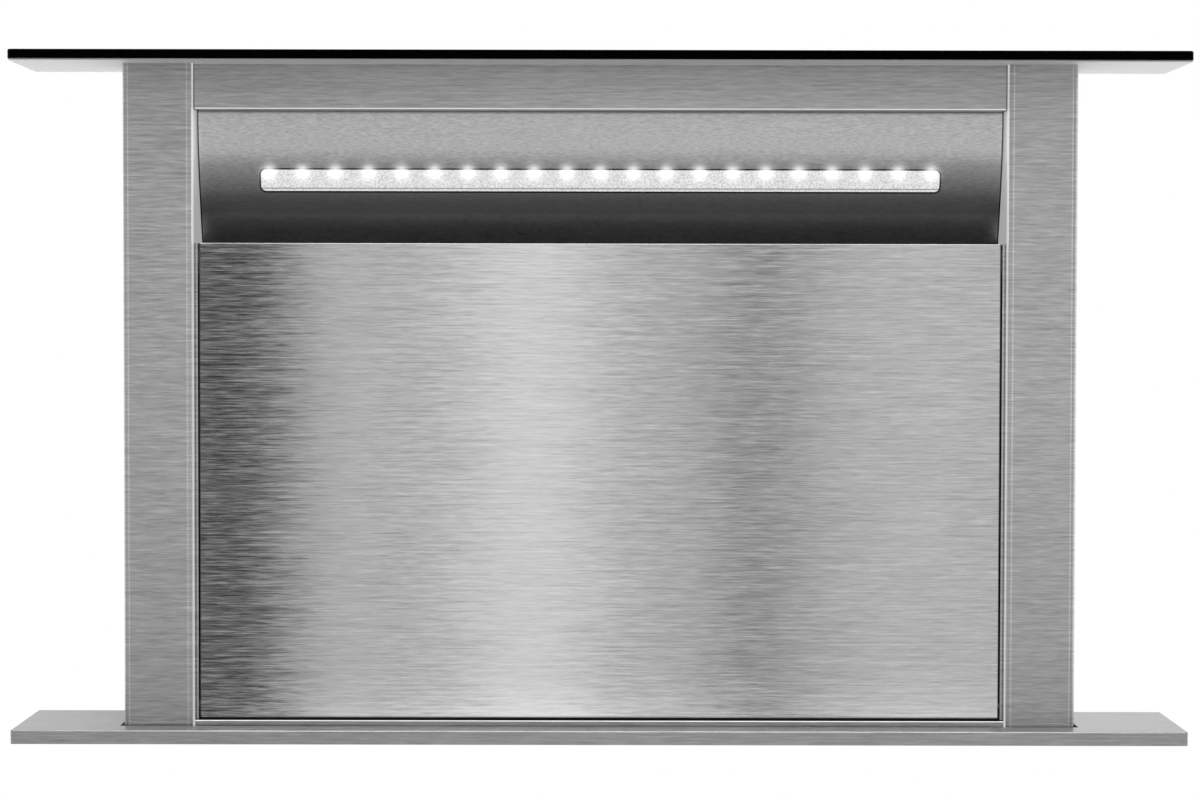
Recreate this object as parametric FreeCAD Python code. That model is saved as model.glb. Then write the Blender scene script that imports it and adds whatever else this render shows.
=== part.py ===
"""Rising downdraft vent: a tower with a glass cap that lifts out of a worktop flange on two lead screws,
and a housing below the worktop with the lift drive, the blower and the duct collar.

Millimetres. The worktop surface is z = 0 under the flange, +Z is up, and the cook stands at -Y.
The tower is modelled raised.
"""

import FreeCAD, Part
import math
import os

V = FreeCAD.Vector

# ---- driving dimensions -------------------------------------------------------------------------
# trim flange on the worktop
TRIM_W, TRIM_D, TRIM_H = 762.0, 90.0, 9.0
TRIM_SHEET = 1.5
RAISED = 441.0          # height of the cap's underside when the tower is up
TRAVEL = 430.0          # lift stroke

# tower
TOWER_W = 622.0
TOWER_FRONT, TOWER_BACK = -23.0, 29.0
TOWER_FOOT = -70.0
COLUMN_W = 46.0
COLUMN_R = 3.5          # bend radius of the columns' front edges
SHEET = 1.2
RAIL_H = 29.5           # top rail
PANEL_W, PANEL_Z0, PANEL_Z1 = 522.0, 14.4, 324.4
PANEL_DEEP = 9.0
BOTTOM_LIP = 12.5       # top edge of the bottom rail's front lip

# front panel hinge
HINGE_Y, HINGE_Z, PIN_R = -17.0, 22.0, 2.0

# air baffle profile: (y, z) of the front surface from top to bottom
BAFFLE = [(-6.0, 411.0), (-4.0, 390.0), (1.5, 366.0), (9.0, 343.0), (17.0, 322.0)]

# light strip
LIGHT_W, LIGHT_Z0, LIGHT_Z1 = 447.0, 359.4, 373.1
LED_COUNT, LED_PITCH = 21, 21.65

# grease filters, leaning back in the tower
FILTER_W, FILTER_H, FILTER_T = 261.0, 294.0, 9.0
FILTER_FRAME = 11.0
FILTER_FOOT_Y, FILTER_FOOT_Z, FILTER_TOP_Y = -2.0, 15.0, 16.5

# glass cap
GLASS_T, PLATE_T = 6.0, 1.0

# housing below the worktop
HOUSE_X = 331.0         # inner half width
HOUSE_Y0, HOUSE_Y1 = -27.0, 33.0
FLOOR = -545.0
GUIDE_Y = 3.0           # middle of the guide rails and lead screws
WORKTOP_T = 40.0

# lift drive
SCREW_X, SCREW_R, JOURNAL_R = 288.0, 8.0, 6.0
FIT = 0.05              # running clearance of shafts
PULLEY_R, BELT_W = 20.0, 10.0
PULLEY_Z = -571.0       # lower side of the belt
COVER_Z = -582.0
MOTOR_BOTTOM = -692.0

# blower
BLOW_Z = -395.0         # wheel axis, at x = 0
WHEEL_R, BLADE_IN = 80.0, 66.0
BLADES = 40
SCROLL_Y1, SCROLL_Y0 = -29.2, -114.2
TONGUE_R, SCROLL_R = 87.0, 135.0
SCROLL_END = FLOOR
EYE_R = 61.0

# duct collar and damper
DUCT_X, DUCT_Y, DUCT_R = 89.3, -105.0, 73.0
DUCT_TOP, DUCT_BOTTOM = -602.0, -690.0
DAMPER_Z = -614.0
FLAP_R = 71.4

HALF = TOWER_W / 2.0
INNER = HALF - COLUMN_W  # half width of the opening between the columns


# ---- helpers ------------------------------------------------------------------------------------
def box(x0, x1, y0, y1, z0, z1):
    return Part.makeBox(x1 - x0, y1 - y0, z1 - z0, V(x0, y0, z0))


def cyl(r, p, q):
    """A cylinder of radius r from point p to point q."""
    p, q = V(*p), V(*q)
    return Part.makeCylinder(r, (q - p).Length, p, q - p)


def fuse(shapes):
    return shapes[0].multiFuse(shapes[1:]).removeSplitter()


def mirror(shape):
    return shape.mirror(V(0, 0, 0), V(1, 0, 0))


def group(shapes):
    return Part.makeCompound(shapes)


def rounded_box(x0, x1, y0, y1, z0, z1, r, axis):
    """A box with its four edges along one axis rounded."""
    b = box(x0, x1, y0, y1, z0, z1)
    along = [e for e in b.Edges if abs(e.tangentAt(e.FirstParameter).dot(axis)) > 0.99]
    return b.makeFillet(r, along)


def lean(shape):
    """Turns an upright filter piece back about the filters' foot."""
    rise = math.degrees(math.atan2(FILTER_TOP_Y - FILTER_FOOT_Y, FILTER_H))
    s = shape.copy()
    s.rotate(V(0, FILTER_FOOT_Y, FILTER_FOOT_Z), V(1, 0, 0), -rise)
    return s


# ---- cap ----------------------------------------------------------------------------------------
def glass_top():
    z = RAISED + PLATE_T
    g = rounded_box(-TRIM_W / 2, TRIM_W / 2, -TRIM_D / 2, TRIM_D / 2, z, z + GLASS_T, 3.0, V(0, 0, 1))
    top = [e for e in g.Edges if e.BoundBox.ZMin > z + GLASS_T - 0.01]
    return g.makeChamfer(0.6, top)


def cap_plate():
    return rounded_box(-TRIM_W / 2 + 0.5, TRIM_W / 2 - 0.5, -TRIM_D / 2 + 0.5, TRIM_D / 2 - 0.5,
                       RAISED, RAISED + PLATE_T, 2.5, V(0, 0, 1))


def cap_blocks():
    """Blocks in the column tops that carry the cap plate."""
    b = column_block(SHEET, RAISED - 14, RAISED)
    b = b.cut(cyl(10, (SCREW_X, GUIDE_Y, RAISED - 14), (SCREW_X, GUIDE_Y, RAISED - 3)))
    return group([b, mirror(b)])


def column_block(inset, z0, z1):
    """Right column's outline as a block, rounded along its two front edges."""
    b = box(INNER + inset, HALF - inset, TOWER_FRONT + inset, TOWER_BACK - inset, z0, z1)
    front = [e for e in b.Edges
             if e.BoundBox.YMax < TOWER_FRONT + inset + 0.01 and abs(e.BoundBox.ZLength - z1 + z0) < 0.1]
    return b.makeFillet(COLUMN_R - inset, front)


# ---- tower frame --------------------------------------------------------------------------------
def column():
    """Right column: a folded box section, open at the foot, with a narrow lip beside the panel's edge."""
    y = TOWER_FRONT + 2.6
    lip = box(PANEL_W / 2 + 1.4, INNER + 0.5, y, y + SHEET, BOTTOM_LIP + 0.4, PANEL_Z1)
    outer = column_block(0.0, TOWER_FOOT, RAISED)
    c = outer.fuse(lip).cut(column_block(SHEET, TOWER_FOOT - 1, RAISED + 1))
    return c.cut(cyl(PIN_R, (INNER - 1, HINGE_Y, HINGE_Z), (INNER + 3, HINGE_Y, HINGE_Z)))


def top_rail():
    """Channel over the intake opening, its lower leg is the soffit."""
    w = INNER - 1.0
    y0, y1 = TOWER_FRONT, BAFFLE[0][0]
    z0, z1 = RAISED - RAIL_H, RAISED
    outer = box(-w, w, y0, y1, z0, z1)
    ends = [e for e in outer.Edges if e.BoundBox.YMax < y0 + 0.01]
    outer = outer.makeFillet(1.0, ends)
    return outer.cut(box(-w - 1, w + 1, y0 + SHEET, y1 + 1, z0 + SHEET, z1 - SHEET))


def bottom_rail():
    """Folded cross member at the tower foot: front lip, shelf under the filters, lower leg."""
    w = INNER - 0.6
    y0 = TOWER_FRONT
    front = box(-w, w, y0, y0 + SHEET, TOWER_FOOT, BOTTOM_LIP)
    lip = [e for e in front.Edges if e.BoundBox.ZMin > BOTTOM_LIP - 0.01 and e.BoundBox.YMax < y0 + 0.01]
    front = front.makeFillet(0.8, lip)
    shelf = box(-w, w, y0, 6.0, 9.8, 11.0)
    turn = box(-w, w, 4.8, 6.0, 2.0, 11.0)
    leg = box(-w, w, y0, -8.0, TOWER_FOOT, TOWER_FOOT + SHEET)
    return fuse([front, shelf, turn, leg])


def tower_back():
    return box(-INNER, INNER, TOWER_BACK - SHEET, TOWER_BACK, TOWER_FOOT, RAISED)


def baffle_curve(x, shift):
    """The baffle's profile at x, moved to the rear by shift along its normal."""
    front = Part.BSplineCurve()
    front.interpolate([V(x, y, z) for y, z in BAFFLE])
    points = []
    for i in range(9):
        u = front.FirstParameter + (front.LastParameter - front.FirstParameter) * i / 8.0
        t = front.tangent(u)[0]
        n = V(0, -t.z, t.y)
        points.append(front.value(u) + n * shift)
    curve = Part.BSplineCurve()
    curve.interpolate(points)
    return curve


def air_baffle():
    """Curved sheet that starts under the top rail and leans back to the filters."""
    w = INNER - 0.4
    a, b = baffle_curve(-w, 0.0), baffle_curve(-w, SHEET)
    a0, a1 = a.value(a.FirstParameter), a.value(a.LastParameter)
    b0, b1 = b.value(b.FirstParameter), b.value(b.LastParameter)
    ring = Part.Wire([a.toShape(), Part.makeLine(a1, b1), b.toShape(), Part.makeLine(b0, a0)])
    sheet = Part.Face(ring).extrude(V(2 * w, 0, 0))
    leg = box(-w, w, a0.y, a0.y + SHEET, a0.z - 1.5, a0.z + 12)
    hook = box(-w, w, a1.y + 0.1, a1.y + 0.1 + SHEET, a1.z - 5.5, a1.z + 1)
    window = rounded_box(-LIGHT_W / 2, LIGHT_W / 2, -20, 25, LIGHT_Z0, LIGHT_Z1, 3.2, V(0, 1, 0))
    return fuse([sheet, leg, hook]).cut(window)


def behind_baffle(x0, x1, shift):
    """Everything behind the baffle's profile moved back by shift."""
    c = baffle_curve(x0, shift)
    p, q = c.value(c.FirstParameter), c.value(c.LastParameter)
    far_q, far_p = V(x0, 60, q.z), V(x0, 60, p.z)
    ring = Part.Wire([c.toShape(), Part.makeLine(q, far_q), Part.makeLine(far_q, far_p),
                      Part.makeLine(far_p, p)])
    return Part.Face(ring).extrude(V(x1 - x0, 0, 0))


# ---- light strip --------------------------------------------------------------------------------
def light_lens():
    """Long bar lens, standing a little proud of the baffle and following its slope."""
    w = LIGHT_W / 2
    blank = rounded_box(-w, w, -20, 25, LIGHT_Z0, LIGHT_Z1, 3.2, V(0, 1, 0))
    slab = behind_baffle(-w, w, -0.9).cut(behind_baffle(-w - 1, w + 1, 2.6))
    return blank.common(slab)


def light_channel():
    """Folded channel behind the baffle that holds the light board."""
    w = LIGHT_W / 2 + 4
    outer = box(-w, w, -10, 16.0, LIGHT_Z0 - 5, LIGHT_Z1 + 5)
    inner = box(-w + SHEET, w - SHEET, -11, 16.0 - SHEET, LIGHT_Z0 - 5 + SHEET, LIGHT_Z1 + 5 - SHEET)
    return outer.cut(inner).common(behind_baffle(-w - 1, w + 1, SHEET + 0.05))


def light_board():
    """Circuit strip with its row of light points."""
    w = LIGHT_W / 2 - 2
    zc = (LIGHT_Z0 + LIGHT_Z1) / 2
    first = -LED_PITCH * (LED_COUNT - 1) / 2
    strip = box(-w, w, 13.2, 14.8, LIGHT_Z0 + 1, LIGHT_Z1 - 1)
    points = [first + i * LED_PITCH for i in range(LED_COUNT)]
    return fuse([strip] + [box(x - 2.5, x + 2.5, 12.2, 13.2, zc - 2.5, zc + 2.5) for x in points])


# ---- filters ------------------------------------------------------------------------------------
def filter_x():
    return 1.0, 1.0 + FILTER_W


def filter_frame():
    """Right filter's frame with the guide for its latch."""
    x0, x1 = filter_x()
    y0 = FILTER_FOOT_Y - FILTER_T / 2
    y1 = y0 + FILTER_T
    z0, z1 = FILTER_FOOT_Z, FILTER_FOOT_Z + FILTER_H
    f = box(x0, x1, y0, y1, z0, z1)
    f = f.cut(box(x0 + FILTER_FRAME, x1 - FILTER_FRAME, y0 - 1, y1 + 1, z0 + FILTER_FRAME, z1 - FILTER_FRAME))
    f = f.cut(box(x0 + 4, x1 - 4, y0 + 1.5, y1 - 1.5, z0 + 4, z1 - 4))
    lx = (x0 + x1) / 2
    guides = [box(lx + s * 21.5 - 1.2, lx + s * 21.5 + 1.2, y0 - 4.0, y0, z1 - 30, z1 - 2) for s in (-1, 1)]
    return lean(fuse([f] + guides))


def filter_mesh():
    x0, x1 = filter_x()
    y0 = FILTER_FOOT_Y - FILTER_T / 2
    z0, z1 = FILTER_FOOT_Z, FILTER_FOOT_Z + FILTER_H
    return lean(box(x0 + 4, x1 - 4, y0 + 1.5, y0 + FILTER_T - 1.5, z0 + 4, z1 - 4))


def filter_latch():
    """Finger slide whose nose reaches up behind the baffle's hook; it draws down to free the filter."""
    x0, x1 = filter_x()
    lx = (x0 + x1) / 2
    y0 = FILTER_FOOT_Y - FILTER_T / 2
    z1 = FILTER_FOOT_Z + FILTER_H
    plate = box(lx - 20, lx + 20, y0 - 2.3, y0 - 0.3, z1 - 30, z1 + 7)
    grip = box(lx - 14, lx + 14, y0 - 6.5, y0 - 2.3, z1 - 30, z1 - 26)
    bend = box(lx - 20, lx + 20, y0 - 2.3, y0 + 8.4, z1 + 5.3, z1 + 7)
    nose = box(lx - 20, lx + 20, y0 + 6.8, y0 + 8.4, z1 + 5.3, z1 + 10.5)
    return lean(fuse([plate, grip, bend, nose]))


def filter_sill():
    """Channel on the shelf that the filters stand in."""
    w = INNER - 0.6
    y0 = FILTER_FOOT_Y - FILTER_T / 2 - 0.6
    y1 = FILTER_FOOT_Y + FILTER_T / 2 + 1.0
    base = box(-w, w, y0 - SHEET, y1 + SHEET, 11.0, 11.0 + SHEET)
    return fuse([base, box(-w, w, y0 - SHEET, y0, 11, 17.5), box(-w, w, y1, y1 + SHEET, 11, 21)])


# ---- front panel --------------------------------------------------------------------------------
def panel_skin():
    """Brushed tray that closes the tower front below the intake opening."""
    w = PANEL_W / 2
    y0, y1 = TOWER_FRONT, TOWER_FRONT + PANEL_DEEP
    outer = box(-w, w, y0, y1, PANEL_Z0, PANEL_Z1)
    rim = [e for e in outer.Edges if e.BoundBox.YMax < y0 + 0.01]
    outer = outer.makeFillet(0.5, rim)
    tray = outer.cut(box(-w + 1, w - 1, y0 + 1, y1 + 1, PANEL_Z0 + 1, PANEL_Z1 - 1))
    for s in (-1, 1):
        tray = tray.cut(cyl(PIN_R + 0.5, (s * (w - 2), HINGE_Y, HINGE_Z), (s * (w + 1), HINGE_Y, HINGE_Z)))
    return tray


def panel_liner():
    """Inner tray of the panel, with the two hinge knuckles."""
    w = PANEL_W / 2 - 1
    y1 = TOWER_FRONT + PANEL_DEEP
    z0, z1 = PANEL_Z0 + 1, PANEL_Z1 - 1
    tray = box(-w, w, y1 - 6, y1, z0, z1).cut(box(-w + 1, w - 1, y1 - 7, y1 - 1, z0 + 1, z1 - 1))
    shapes = [tray]
    for s in (-1, 1):
        a, b = sorted((s * (w - 0.5), s * (w - 11)))
        shapes.append(box(a, b, HINGE_Y - 4, y1 - 0.5, HINGE_Z - 5, HINGE_Z + 5))
    liner = fuse(shapes)
    bore = cyl(PIN_R + FIT, (-w - 1, HINGE_Y, HINGE_Z), (w + 1, HINGE_Y, HINGE_Z))
    keep = box(-w + 12, w - 12, y1 - 7, y1 + 1, z0, z1)
    return liner.cut(bore.cut(keep))


def hinge_pins():
    a = cyl(PIN_R, (INNER + SHEET, HINGE_Y, HINGE_Z), (PANEL_W / 2 - 10, HINGE_Y, HINGE_Z))
    a = fuse([a, cyl(3.5, (INNER + SHEET, HINGE_Y, HINGE_Z), (INNER + SHEET + 1.5, HINGE_Y, HINGE_Z))])
    return group([a, mirror(a)])


def panel_magnets():
    """Magnets inside the panel's upper corners."""
    y1 = TOWER_FRONT + PANEL_DEEP
    return group([box(x - 10, x + 10, y1 - 5, y1 - 1, PANEL_Z1 - 18, PANEL_Z1 - 8) for x in (-225, 225)])


def catch_plates():
    """Steel plates on the column sides that the magnets pull to."""
    b = box(INNER - 46, INNER, TOWER_FRONT + PANEL_DEEP + 1.2, TOWER_FRONT + PANEL_DEEP + 2.4,
            PANEL_Z1 - 20, PANEL_Z1 - 6)
    b = fuse([b, box(INNER - SHEET, INNER, TOWER_FRONT + PANEL_DEEP + 1.2, TOWER_FRONT + PANEL_DEEP + 10,
                     PANEL_Z1 - 20, PANEL_Z1 - 6)])
    return group([b, mirror(b)])


# ---- tower foot ---------------------------------------------------------------------------------
def nut_bracket():
    """Thick plate inside the right column's foot that carries the lead nut."""
    z0, z1 = TOWER_FOOT + 6, TOWER_FOOT + 12
    plate = column_block(SHEET, z0, z1)
    y0, y1 = TOWER_FRONT + COLUMN_R, TOWER_BACK - SHEET
    ear = box(HALF - SHEET - 4, HALF - SHEET, y0, y1, z1, z1 + 34)
    inner = box(INNER + SHEET, INNER + SHEET + 4, y0, y1, z1, z1 + 34)
    body = fuse([plate, ear, inner])
    return body.cut(cyl(12.0, (SCREW_X, GUIDE_Y, z0 - 1), (SCREW_X, GUIDE_Y, z1 + 1)))


def lead_nut():
    """Flanged nut on the right lead screw."""
    z0 = TOWER_FOOT + 6
    body = cyl(12.0, (SCREW_X, GUIDE_Y, z0), (SCREW_X, GUIDE_Y, z0 + 32))
    flange = cyl(17.0, (SCREW_X, GUIDE_Y, z0 - 4), (SCREW_X, GUIDE_Y, z0))
    bore = cyl(SCREW_R + 0.3, (SCREW_X, GUIDE_Y, z0 - 5), (SCREW_X, GUIDE_Y, z0 + 33))
    return fuse([body, flange]).cut(bore)


def guide_shoe():
    """Right sliding shoe: foot plate, neck through the rail's slot, head inside the rail."""
    z0, z1 = TOWER_FOOT + 4, TOWER_FOOT + 54
    y = GUIDE_Y
    foot = box(HALF, HALF + 3.5, y - 10, y + 10, z0, z1)
    neck = box(HALF + 3.5, HALF + 11, y - 4.3, y + 4.3, z0, z1)
    head = box(HALF + 10.2, HALF + 17.4, y - 10.4, y + 10.4, z0, z1)
    return fuse([foot, neck, head])


def sensor_magnet():
    """Small block on the right column that the position sensors read."""
    return box(HALF, HALF + 7, 18, 26, TOWER_FOOT + 10, TOWER_FOOT + 20)


# ---- flange and housing -------------------------------------------------------------------------
SLOT_X, SLOT_Y0, SLOT_Y1 = 313.2, -25.2, 31.2


def stud_points():
    return [(x, y) for x in (-300, -100, 100, 300) for y in (HOUSE_Y0 - 5.7, HOUSE_Y1 + 5.7)]


def trim_flange():
    """Formed flange with a slot for the tower and welded studs underneath."""
    t = rounded_box(-TRIM_W / 2, TRIM_W / 2, -TRIM_D / 2, TRIM_D / 2, 0, TRIM_H, 2.0, V(0, 0, 1))
    top = [e for e in t.Edges if e.BoundBox.ZMin > TRIM_H - 0.01]
    t = t.makeFillet(1.0, top)
    t = t.cut(box(-TRIM_W / 2 + TRIM_SHEET, TRIM_W / 2 - TRIM_SHEET, -TRIM_D / 2 + TRIM_SHEET,
                  TRIM_D / 2 - TRIM_SHEET, -1, TRIM_H - TRIM_SHEET))
    t = t.cut(box(-SLOT_X, SLOT_X, SLOT_Y0, SLOT_Y1, 0, TRIM_H + 1))
    studs = [cyl(1.5, (x, y, -4), (x, y, TRIM_H - TRIM_SHEET)) for x, y in stud_points()]
    return t.multiFuse(studs)


def slot_seal():
    """Rubber lip around the tower, under the flange."""
    z0, z1 = 4.0, TRIM_H - TRIM_SHEET
    outer = box(-SLOT_X - 4, SLOT_X + 4, HOUSE_Y0 + 0.01, HOUSE_Y1 - 0.01, z0, z1)
    inner = box(-HALF - 0.8, HALF + 0.8, TOWER_FRONT - 0.8, TOWER_BACK + 0.8, z0 - 1, z1 + 1)
    return outer.cut(inner)


def trim_gasket():
    """Foam strip between flange and worktop."""
    e = TRIM_SHEET
    outer = box(-TRIM_W / 2 + e, TRIM_W / 2 - e, -TRIM_D / 2 + e, TRIM_D / 2 - e, 0, 3.6)
    return outer.cut(box(-345, 345, HOUSE_Y0 - 9.5, HOUSE_Y1 + 9.2, -1, 5))


def stud_holes(shape):
    """Cuts the studs' holes out of a wall's turned edge."""
    for x, y in stud_points():
        shape = shape.cut(cyl(1.7, (x, y, 0), (x, y, TRIM_H)))
    return shape


def housing_front():
    """Front wall with the blower's inlet hole and a turned edge along the top."""
    z1 = TRIM_H - TRIM_SHEET
    y1 = HOUSE_Y0
    y0 = y1 - SHEET
    w = HOUSE_X + SHEET
    wall = box(-w, w, y0, y1, FLOOR - SHEET, z1)
    edge = box(-w, w, y0 - 8.5, y0, z1 - SHEET, z1)
    body = fuse([wall, edge]).cut(cyl(78, (0, y0 - 1, BLOW_Z), (0, y1 + 1, BLOW_Z)))
    body = body.cut(cyl(9, (-230, y0 - 1, -120), (-230, y1 + 1, -120)))
    return stud_holes(body)


def housing_back():
    z1 = TRIM_H - TRIM_SHEET
    y0 = HOUSE_Y1
    y1 = y0 + SHEET
    w = HOUSE_X + SHEET
    wall = box(-w, w, y0, y1, FLOOR - SHEET, z1)
    edge = box(-w, w, y1, y1 + 8.0, z1 - SHEET, z1)
    return stud_holes(fuse([wall, edge]))


def housing_side():
    """Right side wall with turned edges at the top and the bottom."""
    z1 = TRIM_H - TRIM_SHEET
    wall = box(HOUSE_X, HOUSE_X + SHEET, HOUSE_Y0, HOUSE_Y1, FLOOR - SHEET, z1)
    edge = box(HOUSE_X + SHEET, HOUSE_X + SHEET + 9, HOUSE_Y0, HOUSE_Y1, z1 - SHEET, z1)
    return fuse([wall, edge])


def housing_floor():
    plate = box(-HOUSE_X, HOUSE_X, HOUSE_Y0, HOUSE_Y1, FLOOR - SHEET, FLOOR)
    for s in (-1, 1):
        plate = plate.cut(cyl(9, (s * SCREW_X, GUIDE_Y, FLOOR - 2), (s * SCREW_X, GUIDE_Y, FLOOR + 1)))
    return plate


def guide_rail():
    """Right guide rail: a slotted channel on the side wall."""
    x0, x1, y = HALF + 7.6, HOUSE_X, GUIDE_Y
    outer = box(x0, x1, y - 13, y + 13, FLOOR + 4, -8)
    cavity = box(x0 + 2, x1 - 2, y - 11, y + 11, FLOOR, 0)
    slot = box(x0 - 1, x0 + 3, y - 4.9, y + 4.9, FLOOR, 0)
    return outer.cut(cavity).cut(slot)


def screw_bearing():
    """Right bearing block on the housing floor."""
    b = box(SCREW_X - 20, SCREW_X + 20, GUIDE_Y - 17, GUIDE_Y + 17, FLOOR, FLOOR + 6)
    hub = cyl(15, (SCREW_X, GUIDE_Y, FLOOR + 6), (SCREW_X, GUIDE_Y, FLOOR + 20))
    bore = cyl(JOURNAL_R + FIT, (SCREW_X, GUIDE_Y, FLOOR - 1), (SCREW_X, GUIDE_Y, FLOOR + 21))
    return fuse([b, hub]).cut(bore)


def position_sensors():
    """Two sensors on the right side wall, one for each end of the stroke."""
    heights = (TOWER_FOOT + 15, TOWER_FOOT + 15 - TRAVEL)
    return group([box(HALF + 9, HOUSE_X, 18.5, 25.5, z - 9, z + 9) for z in heights])


# ---- lift drive ---------------------------------------------------------------------------------
def lead_screw(drive):
    """Right lead screw with its journal and the belt pulley's seat; drive is the journal's lower end."""
    x, y = SCREW_X, GUIDE_Y
    spindle = cyl(SCREW_R, (x, y, FLOOR + 20.5), (x, y, -14))
    journal = cyl(JOURNAL_R, (x, y, drive), (x, y, FLOOR + 20.5))
    tip = Part.makeCone(SCREW_R, SCREW_R - 2, 2, V(x, y, -14), V(0, 0, 1))
    return fuse([spindle, journal, tip])


def belt_pulley():
    x, y = SCREW_X, GUIDE_Y
    z0, z1 = PULLEY_Z - 1.5, PULLEY_Z + BELT_W + 1.5
    rim = cyl(PULLEY_R, (x, y, z0), (x, y, z1))
    low = cyl(PULLEY_R + 3, (x, y, z0 - 1.2), (x, y, z0))
    high = cyl(PULLEY_R + 3, (x, y, z1), (x, y, z1 + 1.2))
    hub = cyl(10, (x, y, z1), (x, y, FLOOR - 4))
    return fuse([rim, low, high, hub]).cut(cyl(JOURNAL_R, (x, y, z0 - 2), (x, y, FLOOR)))


def drive_belt():
    """Toothed belt around both pulleys."""
    gap, thick = 0.3, 1.8
    z = PULLEY_Z

    def loop(r):
        a = box(-SCREW_X, SCREW_X, GUIDE_Y - r, GUIDE_Y + r, z, z + BELT_W)
        ends = [cyl(r, (s * SCREW_X, GUIDE_Y, z), (s * SCREW_X, GUIDE_Y, z + BELT_W)) for s in (-1, 1)]
        return a.multiFuse(ends)

    return loop(PULLEY_R + gap + thick).cut(loop(PULLEY_R + gap)).removeSplitter()


def drive_cover():
    """Tray under the housing floor that closes the belt drive."""
    w = HOUSE_X - 8
    outer = box(-w, w, HOUSE_Y0, HOUSE_Y1, COVER_Z, FLOOR - SHEET)
    tray = outer.cut(box(-w + SHEET, w - SHEET, HOUSE_Y0 + SHEET, HOUSE_Y1 - SHEET, COVER_Z + 2, FLOOR))
    for x, r in ((SCREW_X, 13), (-SCREW_X, JOURNAL_R + FIT)):
        tray = tray.cut(cyl(r, (x, GUIDE_Y, COVER_Z - 1), (x, GUIDE_Y, COVER_Z + 3)))
    return tray


def lift_motor():
    """Gearbox and motor can, with a bore for the drive shaft."""
    x, y, z = SCREW_X, GUIDE_Y, COVER_Z
    gear = box(x - 27, x + 27, y - 27, y + 27, z - 38, z)
    gear = gear.makeChamfer(6, [e for e in gear.Edges if e.BoundBox.ZLength > 30])
    can = cyl(24, (x, y, MOTOR_BOTTOM), (x, y, z - 38))
    rim = [e for e in can.Edges if e.BoundBox.ZMax < MOTOR_BOTTOM + 0.1 and e.BoundBox.XLength > 10]
    can = can.makeChamfer(3, rim)
    plug = box(x - 10, x + 10, y - 30, y - 22, z - 80, z - 60)
    return fuse([gear, can, plug]).cut(cyl(JOURNAL_R + FIT, (x, y, z - 20), (x, y, z + 1)))


# ---- blower -------------------------------------------------------------------------------------
def scroll_point(t, grow, y):
    """A point of the scroll's spiral: t runs from 0 at the tongue, clockwise, to 1 at the outlet side."""
    a = math.radians(-60.0 - 300.0 * t)
    r = TONGUE_R * (SCROLL_R / TONGUE_R) ** t + grow
    return V(r * math.cos(a), y, BLOW_Z + r * math.sin(a))


def scroll_block(grow, y, deep):
    """The air path's outline, widened by grow, from y on for a depth: the spiral and the outlet."""
    pts = [scroll_point(i / 12.0, grow, y) for i in range(13)]
    arcs = [Part.Arc(pts[i], pts[i + 1], pts[i + 2]).toShape() for i in range(0, 12, 2)]
    middle = V(0, y, BLOW_Z)
    edges = arcs + [Part.makeLine(pts[-1], middle), Part.makeLine(middle, pts[0])]
    turn = Part.Face(Part.Wire(edges)).extrude(V(0, deep, 0))
    x0 = TONGUE_R * math.cos(math.radians(-60.0)) - grow
    outlet = box(x0, SCROLL_R + grow, y, y + deep, SCROLL_END, BLOW_Z)
    core = cyl(TONGUE_R, (0, y, BLOW_Z), (0, y + deep, BLOW_Z))
    return fuse([turn, outlet, core])


def scroll_wrap():
    deep = SCROLL_Y1 - SCROLL_Y0
    outer = scroll_block(SHEET, SCROLL_Y0, deep)
    inner = scroll_block(0.0, SCROLL_Y0, deep)
    return outer.cut(inner)


def scroll_back():
    """Wall plate of the scroll, on the housing, open around the inlet ring."""
    plate = scroll_block(9.0, SCROLL_Y1, 1.0)
    return plate.cut(cyl(78, (0, SCROLL_Y1 - 1, BLOW_Z), (0, SCROLL_Y1 + 2, BLOW_Z)))


def scroll_front():
    """Cover plate of the scroll, on the motor's side."""
    plate = scroll_block(SHEET + 3.0, SCROLL_Y0 - 1.2, 1.2)
    return plate.cut(cyl(14, (0, SCROLL_Y0 - 2, BLOW_Z), (0, SCROLL_Y0 + 1, BLOW_Z)))


def inlet_ring():
    """Bell mouth that leads the air into the wheel."""
    y = SCROLL_Y1
    outside = [(77.5, 0), (68.0, -2.6), (62.6, -8.0), (EYE_R, -14)]
    inside = [(EYE_R - 1.5, -14), (61.3, -7.4), (67.2, -1.4), (77.5, 1.5)]
    ring = [V(r, y + d, 0) for r, d in outside + inside]
    s = Part.Face(Part.makePolygon(ring + ring[:1])).revolve(V(0, 0, 0), V(0, 1, 0), 360)
    s.translate(V(0, 0, BLOW_Z))
    return s


def blower_wheel():
    """Forward-curved wheel: hub, back disc, blades and front ring."""
    y_in, y_back = -40.0, -108.0
    disc = cyl(WHEEL_R, (0, y_back, 0), (0, y_back + 1.5, 0))
    hub = cyl(14, (0, y_back - 2, 0), (0, y_back + 22, 0))
    ring = cyl(WHEEL_R, (0, y_in - 2, 0), (0, y_in, 0))
    ring = ring.cut(cyl(BLADE_IN - 1, (0, y_in - 3, 0), (0, y_in + 1, 0)))
    t = 1.1
    side = [(BLADE_IN, 0.0), (70.5, -0.5), (75.0, -2.5), (WHEEL_R - 0.5, -6.5)]
    outline = [V(x, y_back, z) for x, z in side] + [V(x, y_back, z - t) for x, z in reversed(side)]
    blade = Part.Face(Part.makePolygon(outline + outline[:1])).extrude(V(0, y_in - y_back, 0))
    blades = []
    for i in range(BLADES):
        c = blade.copy()
        c.rotate(V(0, 0, 0), V(0, 1, 0), 360.0 * i / BLADES)
        blades.append(c)
    wheel = disc.multiFuse([hub, ring] + blades)
    wheel = wheel.cut(cyl(5, (0, y_back - 5, 0), (0, y_back + 30, 0)))
    wheel.translate(V(0, 0, BLOW_Z))
    return wheel


def wheel_shaft():
    return cyl(5, (0, -150, BLOW_Z), (0, -80, BLOW_Z))


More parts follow.
